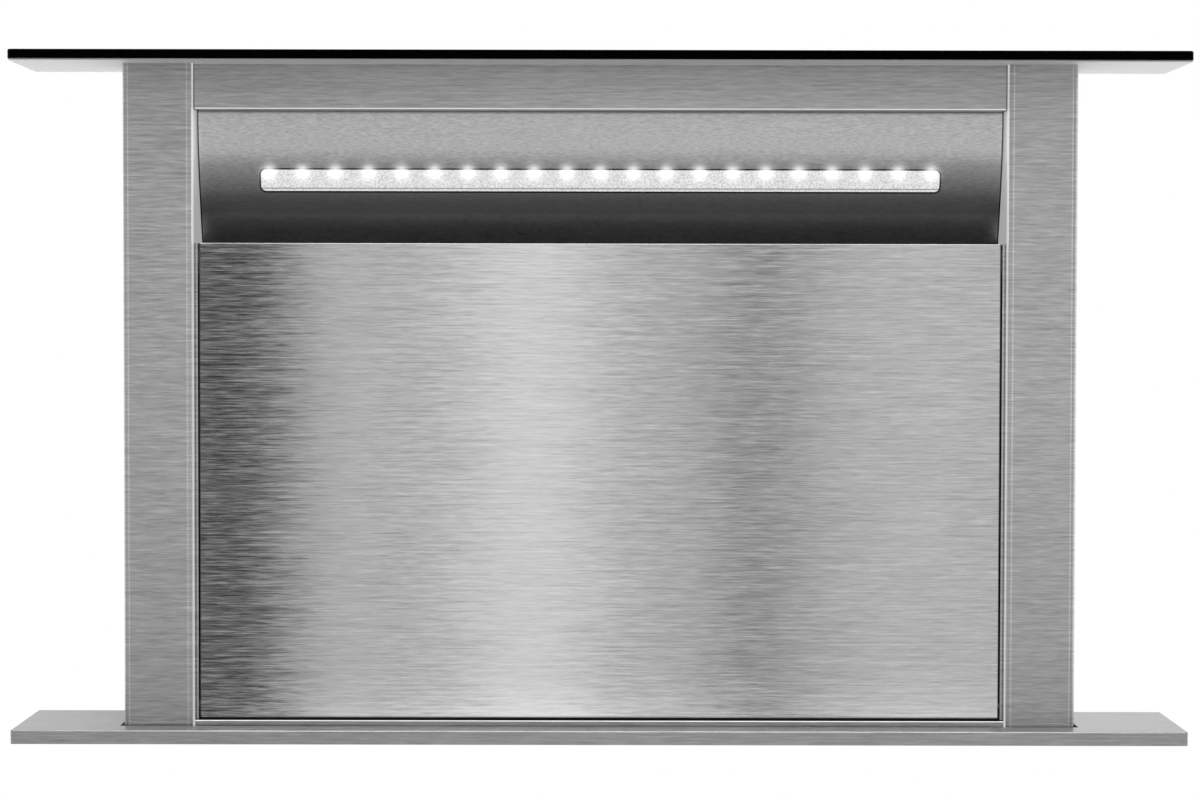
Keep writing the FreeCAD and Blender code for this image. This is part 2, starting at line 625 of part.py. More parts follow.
def blower_motor():
    """Closed motor on the scroll's cover plate, with a ribbed can."""
    y = SCROLL_Y0 - 1.2
    flange = cyl(54, (0, y - 3, BLOW_Z), (0, y, BLOW_Z))
    can = cyl(44, (0, y - 58, BLOW_Z), (0, y - 3, BLOW_Z))
    rim = [e for e in can.Edges if e.BoundBox.YMax < y - 57.9 and e.BoundBox.XLength > 10]
    can = can.makeChamfer(4, rim)
    cap = cyl(20, (0, y - 63, BLOW_Z), (0, y - 58, BLOW_Z))
    plug = box(28, 50, y - 40, y - 18, BLOW_Z - 12, BLOW_Z + 12)
    return fuse([flange, can, cap, plug]).cut(cyl(5 + FIT, (0, -151, BLOW_Z), (0, y + 1, BLOW_Z)))


# ---- duct collar and damper ---------------------------------------------------------------------
def transition(x0, x1, y0, y1, z0, r):
    """Folded square-to-round piece: flat facets from an outlet's four corners to points on a circle."""
    corners = [V(x1, y0, z0), V(x1, y1, z0), V(x0, y1, z0), V(x0, y0, z0)]
    turns = [math.radians(15 * i - 90) for i in range(24)]
    rim = [V(DUCT_X + r * math.cos(a), DUCT_Y + r * math.sin(a), DUCT_TOP) for a in turns]
    faces = [Part.makePolygon(corners + corners[:1]), Part.makePolygon(rim + rim[:1])]
    for k, corner in enumerate(corners):
        fan = [rim[(6 * k + i) % 24] for i in range(7)]
        faces += [Part.makePolygon([corner, p, q, corner]) for p, q in zip(fan, fan[1:])]
        after = corners[(k + 1) % 4]
        faces.append(Part.makePolygon([corner, fan[-1], after, corner]))
    return Part.Solid(Part.Shell([Part.Face(f) for f in faces]))


def duct_collar():
    """Flange under the scroll, a square-to-round transition and the round collar."""
    t = SHEET
    x0, x1 = TONGUE_R / 2 - SHEET, SCROLL_R + SHEET
    y0, y1 = SCROLL_Y0 - 1.2, SCROLL_Y1
    top = SCROLL_END
    flange = box(x0 - 8, x1 + 8, y0 - 8, y1 + 0.8, top - 2, top)
    outer = transition(x0, x1, y0, y1, top - 2, DUCT_R + t)
    inner = transition(x0 + t, x1 - t, y0 + t, y1 - t, top - 2, DUCT_R)
    pipe = cyl(DUCT_R + t, (DUCT_X, DUCT_Y, DUCT_BOTTOM), (DUCT_X, DUCT_Y, DUCT_TOP))
    bore = cyl(DUCT_R, (DUCT_X, DUCT_Y, DUCT_BOTTOM - 1), (DUCT_X, DUCT_Y, DUCT_TOP))
    hole = box(x0 + t, x1 - t, y0 + t, y1 - t, top - 2.001, top + 1)
    body = flange.fuse(outer).fuse(pipe)
    body = body.cut(inner).cut(bore).cut(hole)
    return body.cut(cyl(2.5, (DUCT_X, DUCT_Y - 90, DAMPER_Z), (DUCT_X, DUCT_Y + 90, DAMPER_Z)))


def damper_pin():
    e = DUCT_R + SHEET - 0.1
    return cyl(2.5, (DUCT_X, DUCT_Y - e, DAMPER_Z), (DUCT_X, DUCT_Y + e, DAMPER_Z))


def damper_flap(side, knuckles):
    """Half-round flap with its knuckles on the pin; side is +1 for the right half."""
    x, y, z = DUCT_X, DUCT_Y, DAMPER_Z
    disc = cyl(FLAP_R, (x, y, z - 0.6), (x, y, z + 0.6))
    half = box(*sorted((x + side * 5.0, x + side * 90)), y - 90, y + 90, z - 5, z + 5)
    parts = [disc.common(half)]
    for a, b in knuckles:
        parts.append(cyl(4.0, (x, y + a, z), (x, y + b, z)))
        parts.append(box(*sorted((x, x + side * 6)), y + a, y + b, z - 0.6, z + 0.6))
    flap = fuse(parts)
    return flap.cut(cyl(2.5 + FIT, (x, y - 90, z), (x, y + 90, z)))


# ---- control box --------------------------------------------------------------------------------
BOX_X0, BOX_X1, BOX_Z0, BOX_Z1 = -312.0, -150.0, -232.0, -62.0
BOX_Y0 = HOUSE_Y0 - SHEET - 48.0


def control_box():
    """Open tray on the housing front with the cable gland's hole in its floor."""
    y1 = HOUSE_Y0 - SHEET
    tray = box(BOX_X0, BOX_X1, BOX_Y0, y1, BOX_Z0, BOX_Z1)
    tray = tray.cut(box(BOX_X0 + SHEET, BOX_X1 - SHEET, BOX_Y0 - 1, y1 - SHEET,
                        BOX_Z0 + SHEET, BOX_Z1 - SHEET))
    tray = tray.cut(cyl(8, (-280, -52, BOX_Z0 - 1), (-280, -52, BOX_Z0 + 2)))
    return tray.cut(cyl(9, (-230, y1 - 2, -120), (-230, y1 + 1, -120)))


def control_cover():
    y = BOX_Y0
    lid = box(BOX_X0 - 1.2, BOX_X1 + 1.2, y - 1.2, y + 9, BOX_Z0 - 1.2, BOX_Z1 + 1.2)
    return lid.cut(box(BOX_X0, BOX_X1, y, y + 10, BOX_Z0, BOX_Z1))


def control_board():
    """Board on spacers with relay blocks and a transformer."""
    y = HOUSE_Y0 - 2 * SHEET
    board = box(BOX_X0 + 12, BOX_X1 - 12, y - 9.6, y - 8, BOX_Z0 + 30, BOX_Z1 - 12)
    feet = [cyl(3, (x, y - 8, z), (x, y, z)) for x in (BOX_X0 + 20, BOX_X1 - 20)
            for z in (BOX_Z0 + 38, BOX_Z1 - 20)]
    relays = [box(-292 + 24 * i, -274 + 24 * i, y - 25, y - 9.6, -105, -82) for i in range(4)]
    core = box(-290, -240, y - 36, y - 9.6, -190, -150)
    caps = [cyl(6, (x, y - 30, -170), (x, y - 9.6, -170)) for x in (-215, -195)]
    return fuse([board] + feet + relays + [core] + caps)


def cable_gland():
    """Gland in the control box's floor, with a locking nut inside."""
    x, y, z = -280, -52, BOX_Z0
    hexagon = [V(x + 12 * math.cos(math.radians(60 * i)), y + 12 * math.sin(math.radians(60 * i)), z - 8)
               for i in range(6)]
    nut = Part.Face(Part.makePolygon(hexagon + hexagon[:1])).extrude(V(0, 0, 8))
    stem = cyl(8, (x, y, z - 1), (x, y, z + 8))
    dome = Part.makeCone(7, 10.4, 12, V(x, y, z - 20), V(0, 0, 1))
    lock = cyl(11, (x, y, z + SHEET), (x, y, z + SHEET + 4))
    return fuse([nut, stem, dome, lock]).cut(cyl(4.5, (x, y, z - 25), (x, y, z + 10)))


# ---- mounting brackets --------------------------------------------------------------------------
def mounting_bracket():
    """Right angle bracket: its upper leg lies against the worktop's underside."""
    x0 = HOUSE_X + SHEET
    z1 = -WORKTOP_T
    leg = box(x0, x0 + 2.5, -20, 26, z1 - 60, z1)
    top = box(x0, x0 + 42, -20, 26, z1 - 2.5, z1)
    b = fuse([leg, top])
    for y in (-8, 14):
        b = b.cut(cyl(2.75, (x0 + 26, y, z1 - 4), (x0 + 26, y, z1 + 1)))
        b = b.cut(cyl(2.0, (x0 - 1, y, z1 - 38), (x0 + 4, y, z1 - 38)))
    return b


def both(shape):
    """A piece on the right and its mirror image on the left, as two solids."""
    return group([shape, mirror(shape)])


def main():
    os.makedirs("parts", exist_ok=True)
    pairs = {"column": column(), "belt_pulley": belt_pulley(), "filter_latch": filter_latch()}
    parts = {
        "glass_top": glass_top(), "cap_plate": cap_plate(), "cap_blocks": cap_blocks(),
        "top_rail": top_rail(), "bottom_rail": bottom_rail(), "tower_back": tower_back(),
        "air_baffle": air_baffle(), "light_lens": light_lens(), "light_channel": light_channel(),
        "light_board": light_board(), "filter_sill": filter_sill(), "filter_frames": both(filter_frame()),
        "filter_meshes": both(filter_mesh()), "panel_skin": panel_skin(), "panel_liner": panel_liner(),
        "hinge_pins": hinge_pins(), "panel_magnets": panel_magnets(), "catch_plates": catch_plates(),
        "nut_brackets": both(nut_bracket()), "lead_nuts": both(lead_nut()), "guide_shoes": both(guide_shoe()),
        "sensor_magnet": sensor_magnet(), "trim_flange": trim_flange(), "slot_seal": slot_seal(),
        "trim_gasket": trim_gasket(), "housing_front": housing_front(), "housing_back": housing_back(),
        "housing_sides": both(housing_side()), "housing_floor": housing_floor(),
        "guide_rails": both(guide_rail()), "screw_bearings": both(screw_bearing()),
        "position_sensors": position_sensors(), "lead_screw_right": lead_screw(COVER_Z - 19.5),
        "lead_screw_left": mirror(lead_screw(COVER_Z)), "drive_belt": drive_belt(),
        "drive_cover": drive_cover(), "lift_motor": lift_motor(), "scroll_back": scroll_back(),
        "scroll_wrap": scroll_wrap(), "scroll_front": scroll_front(), "inlet_ring": inlet_ring(),
        "blower_wheel": blower_wheel(), "wheel_shaft": wheel_shaft(), "blower_motor": blower_motor(),
        "duct_collar": duct_collar(), "damper_pin": damper_pin(),
        "damper_flap_right": damper_flap(1, [(-52, -32), (4, 24)]),
        "damper_flap_left": damper_flap(-1, [(-26, -6), (30, 50)]),
        "control_box": control_box(), "control_cover": control_cover(), "control_board": control_board(),
        "cable_gland": cable_gland(), "mounting_brackets": both(mounting_bracket()),
    }
    for name, shape in pairs.items():
        parts[name + "_right"] = shape
        parts[name + "_left"] = mirror(shape)
    for name, shape in sorted(parts.items()):
        shape.exportStep("parts/%s.step" % name)
        facts = (name, shape.isValid(), len(shape.Solids), shape.Volume / 1000)
        print("%-20s valid %s, solids %d, %.1f cm3" % facts)
    print(len(parts), "nodes")


main()
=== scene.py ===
# %% [markdown]
# # A rising downdraft vent
# The vent is a tower that climbs out of the worktop behind a hob: two satin columns, a lit intake, a big
# brushed front panel and a black glass cap. Below the worktop hang its housing, lift drive and blower.
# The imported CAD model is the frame, and this script dresses it.

# %% Load the frame
import math
import bmesh
import bpy
from mathutils import Matrix, Vector


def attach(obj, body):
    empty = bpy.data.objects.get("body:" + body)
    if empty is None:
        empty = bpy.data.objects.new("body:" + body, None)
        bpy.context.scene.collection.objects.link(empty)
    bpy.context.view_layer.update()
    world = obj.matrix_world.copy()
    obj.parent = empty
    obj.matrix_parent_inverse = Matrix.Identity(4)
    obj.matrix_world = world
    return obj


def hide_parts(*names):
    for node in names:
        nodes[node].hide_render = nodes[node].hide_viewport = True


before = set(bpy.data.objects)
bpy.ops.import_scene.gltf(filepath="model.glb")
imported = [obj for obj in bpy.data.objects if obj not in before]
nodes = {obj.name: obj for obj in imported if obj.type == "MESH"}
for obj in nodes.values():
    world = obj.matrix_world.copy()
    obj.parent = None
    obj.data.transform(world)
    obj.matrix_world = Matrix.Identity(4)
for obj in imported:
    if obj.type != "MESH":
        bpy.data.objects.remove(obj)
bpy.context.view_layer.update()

scene = bpy.context.scene

# %% [markdown]
# ## Helpers
# A material is a tree of nodes. It could be wired by hand in the editor, but only code gives the same tree
# each time. Short helpers keep that code readable: they start a material, add a node, do a sum on every point
# of a surface, turn a number into a grey, and make or place a group.

# %% Materials and nodes
def new_material(name):
    """A material with a Principled shader: returns the material, its tree and the shader."""
    mat = bpy.data.materials.new(name)
    mat.use_nodes = True
    return mat, mat.node_tree, mat.node_tree.nodes["Principled BSDF"]


def constants(node, **values):
    """Sets inputs that are the same all over the surface; an underscore stands for a space."""
    for key, value in values.items():
        node.inputs[key.replace("_", " ")].default_value = value


def add(tree, kind, **values):
    """Adds a node and sets its properties, or else its inputs."""
    node = tree.nodes.new(kind)
    for key, value in values.items():
        if hasattr(node, key):
            setattr(node, key, value)
        else:
            constants(node, **{key: value})
    return node


def feed(tree, value, socket):
    """Puts a number, or the output of another node, into a socket."""
    if isinstance(value, (int, float)):
        socket.default_value = value
    else:
        tree.links.new(value, socket)


print("materials and nodes ready")

# %% Sums on every point
def math_node(tree, operation, a, b=None):
    """A sum whose terms are numbers or the outputs of other nodes."""
    node = add(tree, "ShaderNodeMath", operation=operation)
    feed(tree, a, node.inputs[0])
    if b is not None:
        feed(tree, b, node.inputs[1])
    return node.outputs[0]


def times(tree, a, b):
    return math_node(tree, "MULTIPLY", a, b)


def plus(tree, a, b):
    return math_node(tree, "ADD", a, b)


def minus(tree, a, b):
    return math_node(tree, "SUBTRACT", a, b)


def magnitude(tree, a):
    return math_node(tree, "ABSOLUTE", a)


def below(tree, a, b):
    """1 where a is less than b, and 0 elsewhere."""
    return math_node(tree, "LESS_THAN", a, b)


def above(tree, a, b):
    """1 where a is more than b, and 0 elsewhere."""
    return math_node(tree, "GREATER_THAN", a, b)


def near(tree, value, middle, reach):
    """1 where a value lies within reach of the middle, and 0 elsewhere."""
    output = math_node(tree, "COMPARE", value, middle)
    output.node.inputs[2].default_value = reach
    return output


def distance(tree, a, b):
    """How far the point (a, b) lies from (0, 0)."""
    return math_node(tree, "SQRT", plus(tree, times(tree, a, a), times(tree, b, b)))


print("sums ready")

# %% Greys and tints
def ramp(tree, source, stops):
    """A linear colour ramp of grey stops: (position, grey)."""
    node = add(tree, "ShaderNodeValToRGB")
    elements = node.color_ramp.elements
    while len(elements) > 1:
        elements.remove(elements[-1])
    elements[0].position = stops[0][0]
    elements[0].color = (*[stops[0][1]] * 3, 1)
    for position, value in stops[1:]:
        elements.new(position).color = (*[value] * 3, 1)
    tree.links.new(source, node.inputs[0])
    return node.outputs[0]


def grey(tree, value):
    """A number from 0 to 1 as a grey."""
    return ramp(tree, value, [(0.0, 0.0), (1.0, 1.0)])


def where(tree, mask, value):
    """A grey of the given value where the mask is 1, and white elsewhere."""
    return ramp(tree, mask, [(0.0, 1.0), (1.0, value)])


def mix_grey(tree, factor, dark, light):
    """A colour between two greys or tints, by a factor."""
    node = add(tree, "ShaderNodeMix", data_type="RGBA")
    node.inputs["A"].default_value = (*dark, 1)
    node.inputs["B"].default_value = (*light, 1)
    tree.links.new(factor, node.inputs["Factor"])
    return node.outputs["Result"]


def multiply(tree, a, b):
    """The product of two colours."""
    node = add(tree, "ShaderNodeMix", data_type="RGBA", blend_type="MULTIPLY")
    node.inputs["Factor"].default_value = 1.0
    tree.links.new(a, node.inputs["A"])
    tree.links.new(b, node.inputs["B"])
    return node.outputs["Result"]


print("greys and tints ready")

# %% Places, directions and noise
def object_place(tree):
    """The x, y and z of the shaded point, in metres."""
    coord, xyz = add(tree, "ShaderNodeTexCoord"), add(tree, "ShaderNodeSeparateXYZ")
    tree.links.new(coord.outputs["Object"], xyz.inputs[0])
    return xyz.outputs


def facing(tree):
    """The x, y and z of the direction that the shaded point faces."""
    face, xyz = add(tree, "ShaderNodeNewGeometry"), add(tree, "ShaderNodeSeparateXYZ")
    tree.links.new(face.outputs["Normal"], xyz.inputs[0])
    return xyz.outputs


def noise(tree, scale, detail):
    """A cloudy value between 0 and 1 that is fixed to the object."""
    coord, cloud = add(tree, "ShaderNodeTexCoord"), add(tree, "ShaderNodeTexNoise", Detail=detail)
    feed(tree, scale, cloud.inputs["Scale"])
    tree.links.new(coord.outputs["Object"], cloud.inputs["Vector"])
    return cloud.outputs["Fac"]


print("places, directions and noise ready")

# %% Groups
def group_tree(name, inputs, outputs):
    """A shader node group: returns its tree, what it is given {name: default}, and its named outputs."""
    tree = bpy.data.node_groups.new(name, "ShaderNodeTree")
    for label, default in inputs.items():
        given = tree.interface.new_socket(label, in_out="INPUT", socket_type="NodeSocketFloat")
        given.default_value = default
    for label in outputs:
        tree.interface.new_socket(label, in_out="OUTPUT", socket_type="NodeSocketFloat")
    return tree, add(tree, "NodeGroupInput").outputs, add(tree, "NodeGroupOutput").inputs


def use_group(tree, group, **values):
    """Places a group in a material with its own values, and returns its outputs."""
    node = add(tree, "ShaderNodeGroup", node_tree=group)
    constants(node, **values)
    return node.outputs


print("groups ready")

# %% [markdown]
# ## Brushed grain
# Satin steel is ground with a belt, which leaves thousands of fine parallel scratches. A picture of scratches
# would need unwrapping and would blur close up, so a noise is stretched along them instead. The group reads
# object coordinates and the way each face looks, so the grain runs along X on fronts and tops, and from front
# to back on the sides. Shift gives a second grain that has nothing to do with the first.

# %% The grain group
def build_grain():
    values = {"Along": 60.0, "Across": 1400.0, "Fine": 0.5, "Shift": 0.0}
    tree, given, out = group_tree("BrushedGrain", values, ["Streak"])
    link = tree.links.new
    place = object_place(tree)
    flat = above(tree, magnitude(tree, facing(tree)["Z"]), 0.7)
    span = minus(tree, given["Across"], given["Along"])
    y_scale = plus(tree, times(tree, span, flat), given["Along"])
    stretched = add(tree, "ShaderNodeCombineXYZ")
    link(times(tree, place["X"], given["Along"]), stretched.inputs["X"])
    link(times(tree, place["Y"], y_scale), stretched.inputs["Y"])
    link(plus(tree, times(tree, place["Z"], given["Across"]), given["Shift"]), stretched.inputs["Z"])
    short = add(tree, "ShaderNodeTexNoise", Scale=1.0, Detail=3.0, Roughness=0.62)
    link(stretched.outputs[0], short.inputs["Vector"])
    slower = add(tree, "ShaderNodeVectorMath", operation="MULTIPLY")
    slower.inputs[1].default_value = (0.22, 0.5, 0.42)
    link(stretched.outputs[0], slower.inputs[0])
    long = add(tree, "ShaderNodeTexNoise", Scale=1.0, Detail=2.0, Roughness=0.55)
    link(slower.outputs[0], long.inputs["Vector"])
    both = add(tree, "ShaderNodeMix")
    link(given["Fine"], both.inputs[0])
    link(long.outputs["Fac"], both.inputs[2])
    link(short.outputs["Fac"], both.inputs[3])
    link(both.outputs[0], out["Streak"])
    return tree


GRAIN = build_grain()
print("group", GRAIN.name)

# %% [markdown]
# ## Rounds of light
# Twenty-one light points stand behind the upper part of the lens. Each throws a small round of light on the
# lens and on the baffle just above it. Real lamps there would need very many samples, so the rounds are
# painted light, worked out from the distance to the nearest point, in a group that the lens and the baffle
# share.

# %% The light rounds group
LIGHTS = {"Pitch": 0.0218, "Height": 0.3718, "Half": 0.2285, "Reach": 0.009}


def build_light_rounds():
    tree, given, out = group_tree("LightRounds", LIGHTS, ["Light"])
    place = object_place(tree)
    steps = math_node(tree, "DIVIDE", place["X"], given["Pitch"])
    aside = times(tree, minus(tree, steps, math_node(tree, "ROUND", steps)), given["Pitch"])
    up = minus(tree, place["Z"], given["Height"])
    away = math_node(tree, "DIVIDE", distance(tree, aside, up), given["Reach"])
    glow = ramp(tree, away, [(0.0, 1.0), (0.15, 1.0), (0.35, 0.62), (0.5, 0.30), (0.7, 0.10), (1.0, 0.0)])
    within = below(tree, magnitude(tree, place["X"]), given["Half"])
    tree.links.new(times(tree, glow, within), out["Light"])
    return tree


ROUNDS = build_light_rounds()
print("group", ROUNDS.name, "pitch", LIGHTS["Pitch"])

# %% [markdown]
# ## Painted highlights and shade of the folds
# Folded sheet shows fine bright lines where its bends start, rounded edges that catch the light of the room,
# and dark gaps where two parts meet. A bend of 3.5 mm is only five pixels wide in the photograph, so these
# highlights and shades are painted into the steel at their places on the tower, in metres, and the meshes
# stay as the CAD has them.

# %% Painted highlights on the edges beside the opening
OPENING = 0.2646  # half width between the columns, just inside their bends
INTAKE_MIDDLE, INTAKE_HALF = 0.368, 0.0435  # height of the intake opening


def painted_edge_highlights(tree):
    """Painted highlights on rounded front edges facing the tower's middle, painted light on the intake's
    cheeks.
    """
    place, way = object_place(tree), facing(tree)
    turned = times(tree, way["Y"], -1.0)
    on_column = above(tree, magnitude(tree, place["X"]), OPENING)
    below_cap = ramp(tree, place["Z"], [(0.43, 1.0), (0.44, 0.3)])
    on_rail = times(tree, minus(tree, 1.0, on_column), below_cap)
    bend = ramp(tree, turned, [(0.0, 0.0), (0.04, 1.0), (0.60, 1.0), (0.80, 0.0)])
    rail = ramp(tree, turned, [(0.10, 0.0), (0.25, 1.0), (0.85, 1.0), (0.97, 0.0)])
    band = plus(tree, times(tree, bend, on_column), times(tree, rail, on_rail))
    outward = times(tree, way["X"], place["X"])
    inward = below(tree, outward, 0.02)
    beside_intake = near(tree, place["Z"], INTAKE_MIDDLE, INTAKE_HALF)
    cheek = times(tree, below(tree, outward, -0.2), beside_intake)
    return grey(tree, plus(tree, times(tree, band, inward), times(tree, cheek, 0.6)))


print("opening", 2 * OPENING, "m wide")

# %% Painted highlight lines and shade on the columns
OUTER_BEND, INNER_BEND = 0.3073, 0.2690  # where a column's two bends start
COLUMN_MIDDLE, COLUMN_HALF = 0.2878, 0.0195  # its flat front between them
FOOT_LINE, LINE_HALF = 0.0111, 0.0004
LIP_ROOT, LIP_Y = 0.2641, -0.0204  # where the narrow lip beside the panel starts
COLUMN_FRONT = -0.0227


def bend_highlights_and_shade(tree):
    """Painted highlight lines down each column at its bends and across its foot; painted shade at its lip's
    root.
    """
    place = object_place(tree)
    across = magnitude(tree, place["X"])
    down = math_node(tree, "MAXIMUM", near(tree, across, OUTER_BEND, LINE_HALF),
                     near(tree, across, INNER_BEND, LINE_HALF))
    foot = times(tree, near(tree, place["Z"], FOOT_LINE, LINE_HALF),
                 near(tree, across, COLUMN_MIDDLE, COLUMN_HALF))
    front = below(tree, place["Y"], COLUMN_FRONT)
    painted_highlight = times(tree, math_node(tree, "MAXIMUM", down, foot), front)
    # Painted shade in the narrow gap at the root of the lip.
    root = times(tree, near(tree, across, LIP_ROOT, 0.0005), near(tree, place["Y"], LIP_Y, 0.0003))
    return multiply(tree, where(tree, painted_highlight, 1.35), where(tree, root, 0.45))


print("lines at", OUTER_BEND, INNER_BEND, "and", FOOT_LINE)

# %% Painted shade in the gaps
BEHIND_LIP, TOWER_REAR, PANEL_TOP = -0.0203, 0.0285, 0.3245
PANEL_RIM = 0.2604  # where the panel's rounded side edges start
CHEEK = 0.2637  # where the baffle meets the cheeks of the intake
LENS_HALF_X, LENS_HALF_Z, LENS_MIDDLE, LENS_CORNER = 0.2235, 0.00685, 0.36625, 0.0032
LENS_GAP = 0.0011


def shaded_inside(tree):
    """Painted shade behind the panel and its lips, where the gaps look into the tower; the painted bend lines
    elsewhere.
    """
    place = object_place(tree)
    inside = below(tree, magnitude(tree, place["X"]), OPENING + 0.0005)
    for test in (above(tree, place["Y"], BEHIND_LIP), below(tree, place["Y"], TOWER_REAR),
                 below(tree, place["Z"], PANEL_TOP)):
        inside = times(tree, inside, test)
    return multiply(tree, where(tree, inside, 0.25), bend_highlights_and_shade(tree))


def panel_rim_shade(tree):
    """Painted shade: the panel's rounded side edges turn away into the gaps and go dark."""
    return where(tree, above(tree, magnitude(tree, object_place(tree)["X"]), PANEL_RIM), 0.15)


def seam_shadows(tree):
    """Painted shadow lines where the baffle meets the cheeks and where the lens stands in its window."""
    place = object_place(tree)
    across = magnitude(tree, place["X"])
    up = magnitude(tree, minus(tree, place["Z"], LENS_MIDDLE))
    out_x = math_node(tree, "MAXIMUM", minus(tree, across, LENS_HALF_X - LENS_CORNER), 0.0)
    out_z = math_node(tree, "MAXIMUM", minus(tree, up, LENS_HALF_Z - LENS_CORNER), 0.0)
    round_lens = below(tree, distance(tree, out_x, out_z), LENS_CORNER + LENS_GAP)
    return where(tree, math_node(tree, "MAXIMUM", above(tree, across, CHEEK), round_lens), 0.12)


print("lens window", 2 * LENS_HALF_X, "by", 2 * LENS_HALF_Z, "m")

# %% [markdown]
# ## Steel finishes
# Every steel part shares the grain group with its own values. The front panel's grind is the longest and
# shiniest, so it mirrors the room sideways as upright bands. Those could be painted on, but then they would
# stay when the view turns, so they are anisotropic gloss, with its direction taken along the grain. Where the
# streaks of a second grain tilt the surface a little, the edges of the bands fray as they do on real steel.

# %% The steel material
TOWER_SPAN = 0.45  # height that by_height counts as 1, in metres
UNRELATED = 5000.0  # a shift that gives a second grain


def by_height(tree, stops):
    """Painted light and shade by height above the worktop: stops are (height / TOWER_SPAN, grey)."""
    return ramp(tree, math_node(tree, "DIVIDE", object_place(tree)["Z"], TOWER_SPAN), stops)


def grain_direction(tree, shader):
    """Feeds the shader the direction across the grain, along which highlights are drawn out."""
    face = add(tree, "ShaderNodeNewGeometry")
    cross = add(tree, "ShaderNodeVectorMath", operation="CROSS_PRODUCT")
    cross.inputs[1].default_value = (1.0, 0.02, 0.0)
    tree.links.new(face.outputs["Normal"], cross.inputs[0])
    tree.links.new(cross.outputs[0], shader.inputs["Tangent"])


def swayed(tree, normal, streak, sway):
    """The normal, turned a little to the left or right by the streaks."""
    aside = add(tree, "ShaderNodeCombineXYZ")
    tree.links.new(times(tree, minus(tree, streak, 0.5), sway), aside.inputs["X"])
    turned = add(tree, "ShaderNodeVectorMath", operation="ADD")
    tree.links.new(normal, turned.inputs[0])
    tree.links.new(aside.outputs[0], turned.inputs[1])
    unit = add(tree, "ShaderNodeVectorMath", operation="NORMALIZE")
    tree.links.new(turned.outputs[0], unit.inputs[0])
    return unit.outputs[0]


def brushed_steel(name, dark, light, along, across, fine, rough, aniso=0.0, bump=0.02, light_and_shade_by_height=None,
                  shade=None, edge=0.0, glow=0.0, sway=0.0):
    mat, tree, shader = new_material(name)
    link = tree.links.new
    grind = {"Along": along, "Across": across, "Fine": fine}
    streak = use_group(tree, GRAIN, **grind)["Streak"]
    sharp = ramp(tree, streak, [(0.30, 0.0), (0.70, 1.0)])
    tint = mix_grey(tree, sharp, dark, light)
    # Painted light and shade: a multiplier by height, then a mask of painted shade.
    if light_and_shade_by_height:
        tint = multiply(tree, tint, by_height(tree, light_and_shade_by_height))
    if shade:
        tint = multiply(tree, tint, shade(tree))
    link(tint, shader.inputs["Base Color"])
    link(plus(tree, times(tree, sharp, rough[1] - rough[0]), rough[0]), shader.inputs["Roughness"])
    relief = add(tree, "ShaderNodeBump", Strength=bump, Distance=0.0004)
    link(streak, relief.inputs["Height"])
    normal = relief.outputs[0]
    if sway:
        normal = swayed(tree, normal, use_group(tree, GRAIN, **grind, Shift=UNRELATED)["Streak"], sway)
    link(normal, shader.inputs["Normal"])
    constants(shader, Metallic=1.0)
    # Painted highlights on edges, or painted rounds of light on the baffle, glow through the emission.
    if edge:
        link(painted_edge_highlights(tree), shader.inputs["Emission Color"])
    if glow:
        link(grey(tree, use_group(tree, ROUNDS)["Light"]), shader.inputs["Emission Color"])
    constants(shader, Emission_Strength=edge or glow)
    if aniso:
        constants(shader, Anisotropic=aniso)
        grain_direction(tree, shader)
    return mat


print("steel material ready")

# %% Four steels
# Painted light and shade by height on the panel: dark along its lower edge, brightened above it, then even.
PANEL_LIGHT_AND_SHADE = [(0.0325, 0.2), (0.0333, 1.33), (0.045, 1.2), (0.06, 1.1), (0.09, 1.03), (0.13, 1.0)]
# Painted shade by height on the columns and rails: darker towards the bottom and the top.
TOWER_SHADE_BY_HEIGHT = [(0.0, 0.73), (0.06, 0.80), (0.14, 0.88), (0.25, 0.93), (0.5, 1.0), (0.75, 0.94), (0.9, 0.86),
              (1.0, 0.77)]
# Painted light and shade by height on the baffle: dark below the lens, bright above it, dark under the rail.
BAFFLE_LIGHT_AND_SHADE = [(0.725, 0.85), (0.746, 0.46), (0.758, 0.26), (0.769, 0.12), (0.78, 0.13), (0.791, 0.19),
               (0.815, 0.42), (0.837, 0.66), (0.849, 0.95), (0.86, 1.12), (0.9110, 1.12), (0.9124, 0.30)]
panel_steel = brushed_steel("panel_steel", (0.46, 0.46, 0.465), (0.84, 0.84, 0.84), 75.0, 1500.0, 0.6,
                            (0.09, 0.24), aniso=1.0, light_and_shade_by_height=PANEL_LIGHT_AND_SHADE, shade=panel_rim_shade, sway=0.035)
satin_steel = brushed_steel("satin_steel", (0.40, 0.40, 0.405), (0.76, 0.76, 0.76), 75.0, 1400.0, 0.7,
                            (0.28, 0.40), aniso=0.6, light_and_shade_by_height=TOWER_SHADE_BY_HEIGHT, shade=shaded_inside, edge=0.58)
trim_steel = brushed_steel("trim_steel", (0.32, 0.32, 0.325), (0.56, 0.56, 0.56), 60.0, 1400.0, 0.7,
                           (0.30, 0.40), aniso=0.6)
baffle_steel = brushed_steel("baffle_steel", (0.50, 0.50, 0.505), (0.80, 0.80, 0.805), 260.0, 1500.0, 0.9,
                             (0.30, 0.38), bump=0.12, light_and_shade_by_height=BAFFLE_LIGHT_AND_SHADE, shade=seam_shadows, glow=0.8)
print("steels", [m.name for m in (panel_steel, satin_steel, trim_steel, baffle_steel)])

# %% [markdown]
# ## The other finishes
# Below the worktop the vent is plain industrial metal and plastic: spangled zinc sheet, turned steel, bronze
# nuts, moulded plastic and rubber. One flat colour each would look like card, so a fine noise and a broad one
# move every tint, gloss and surface a little. They come from one group. Zinc's flat crystals need cells.

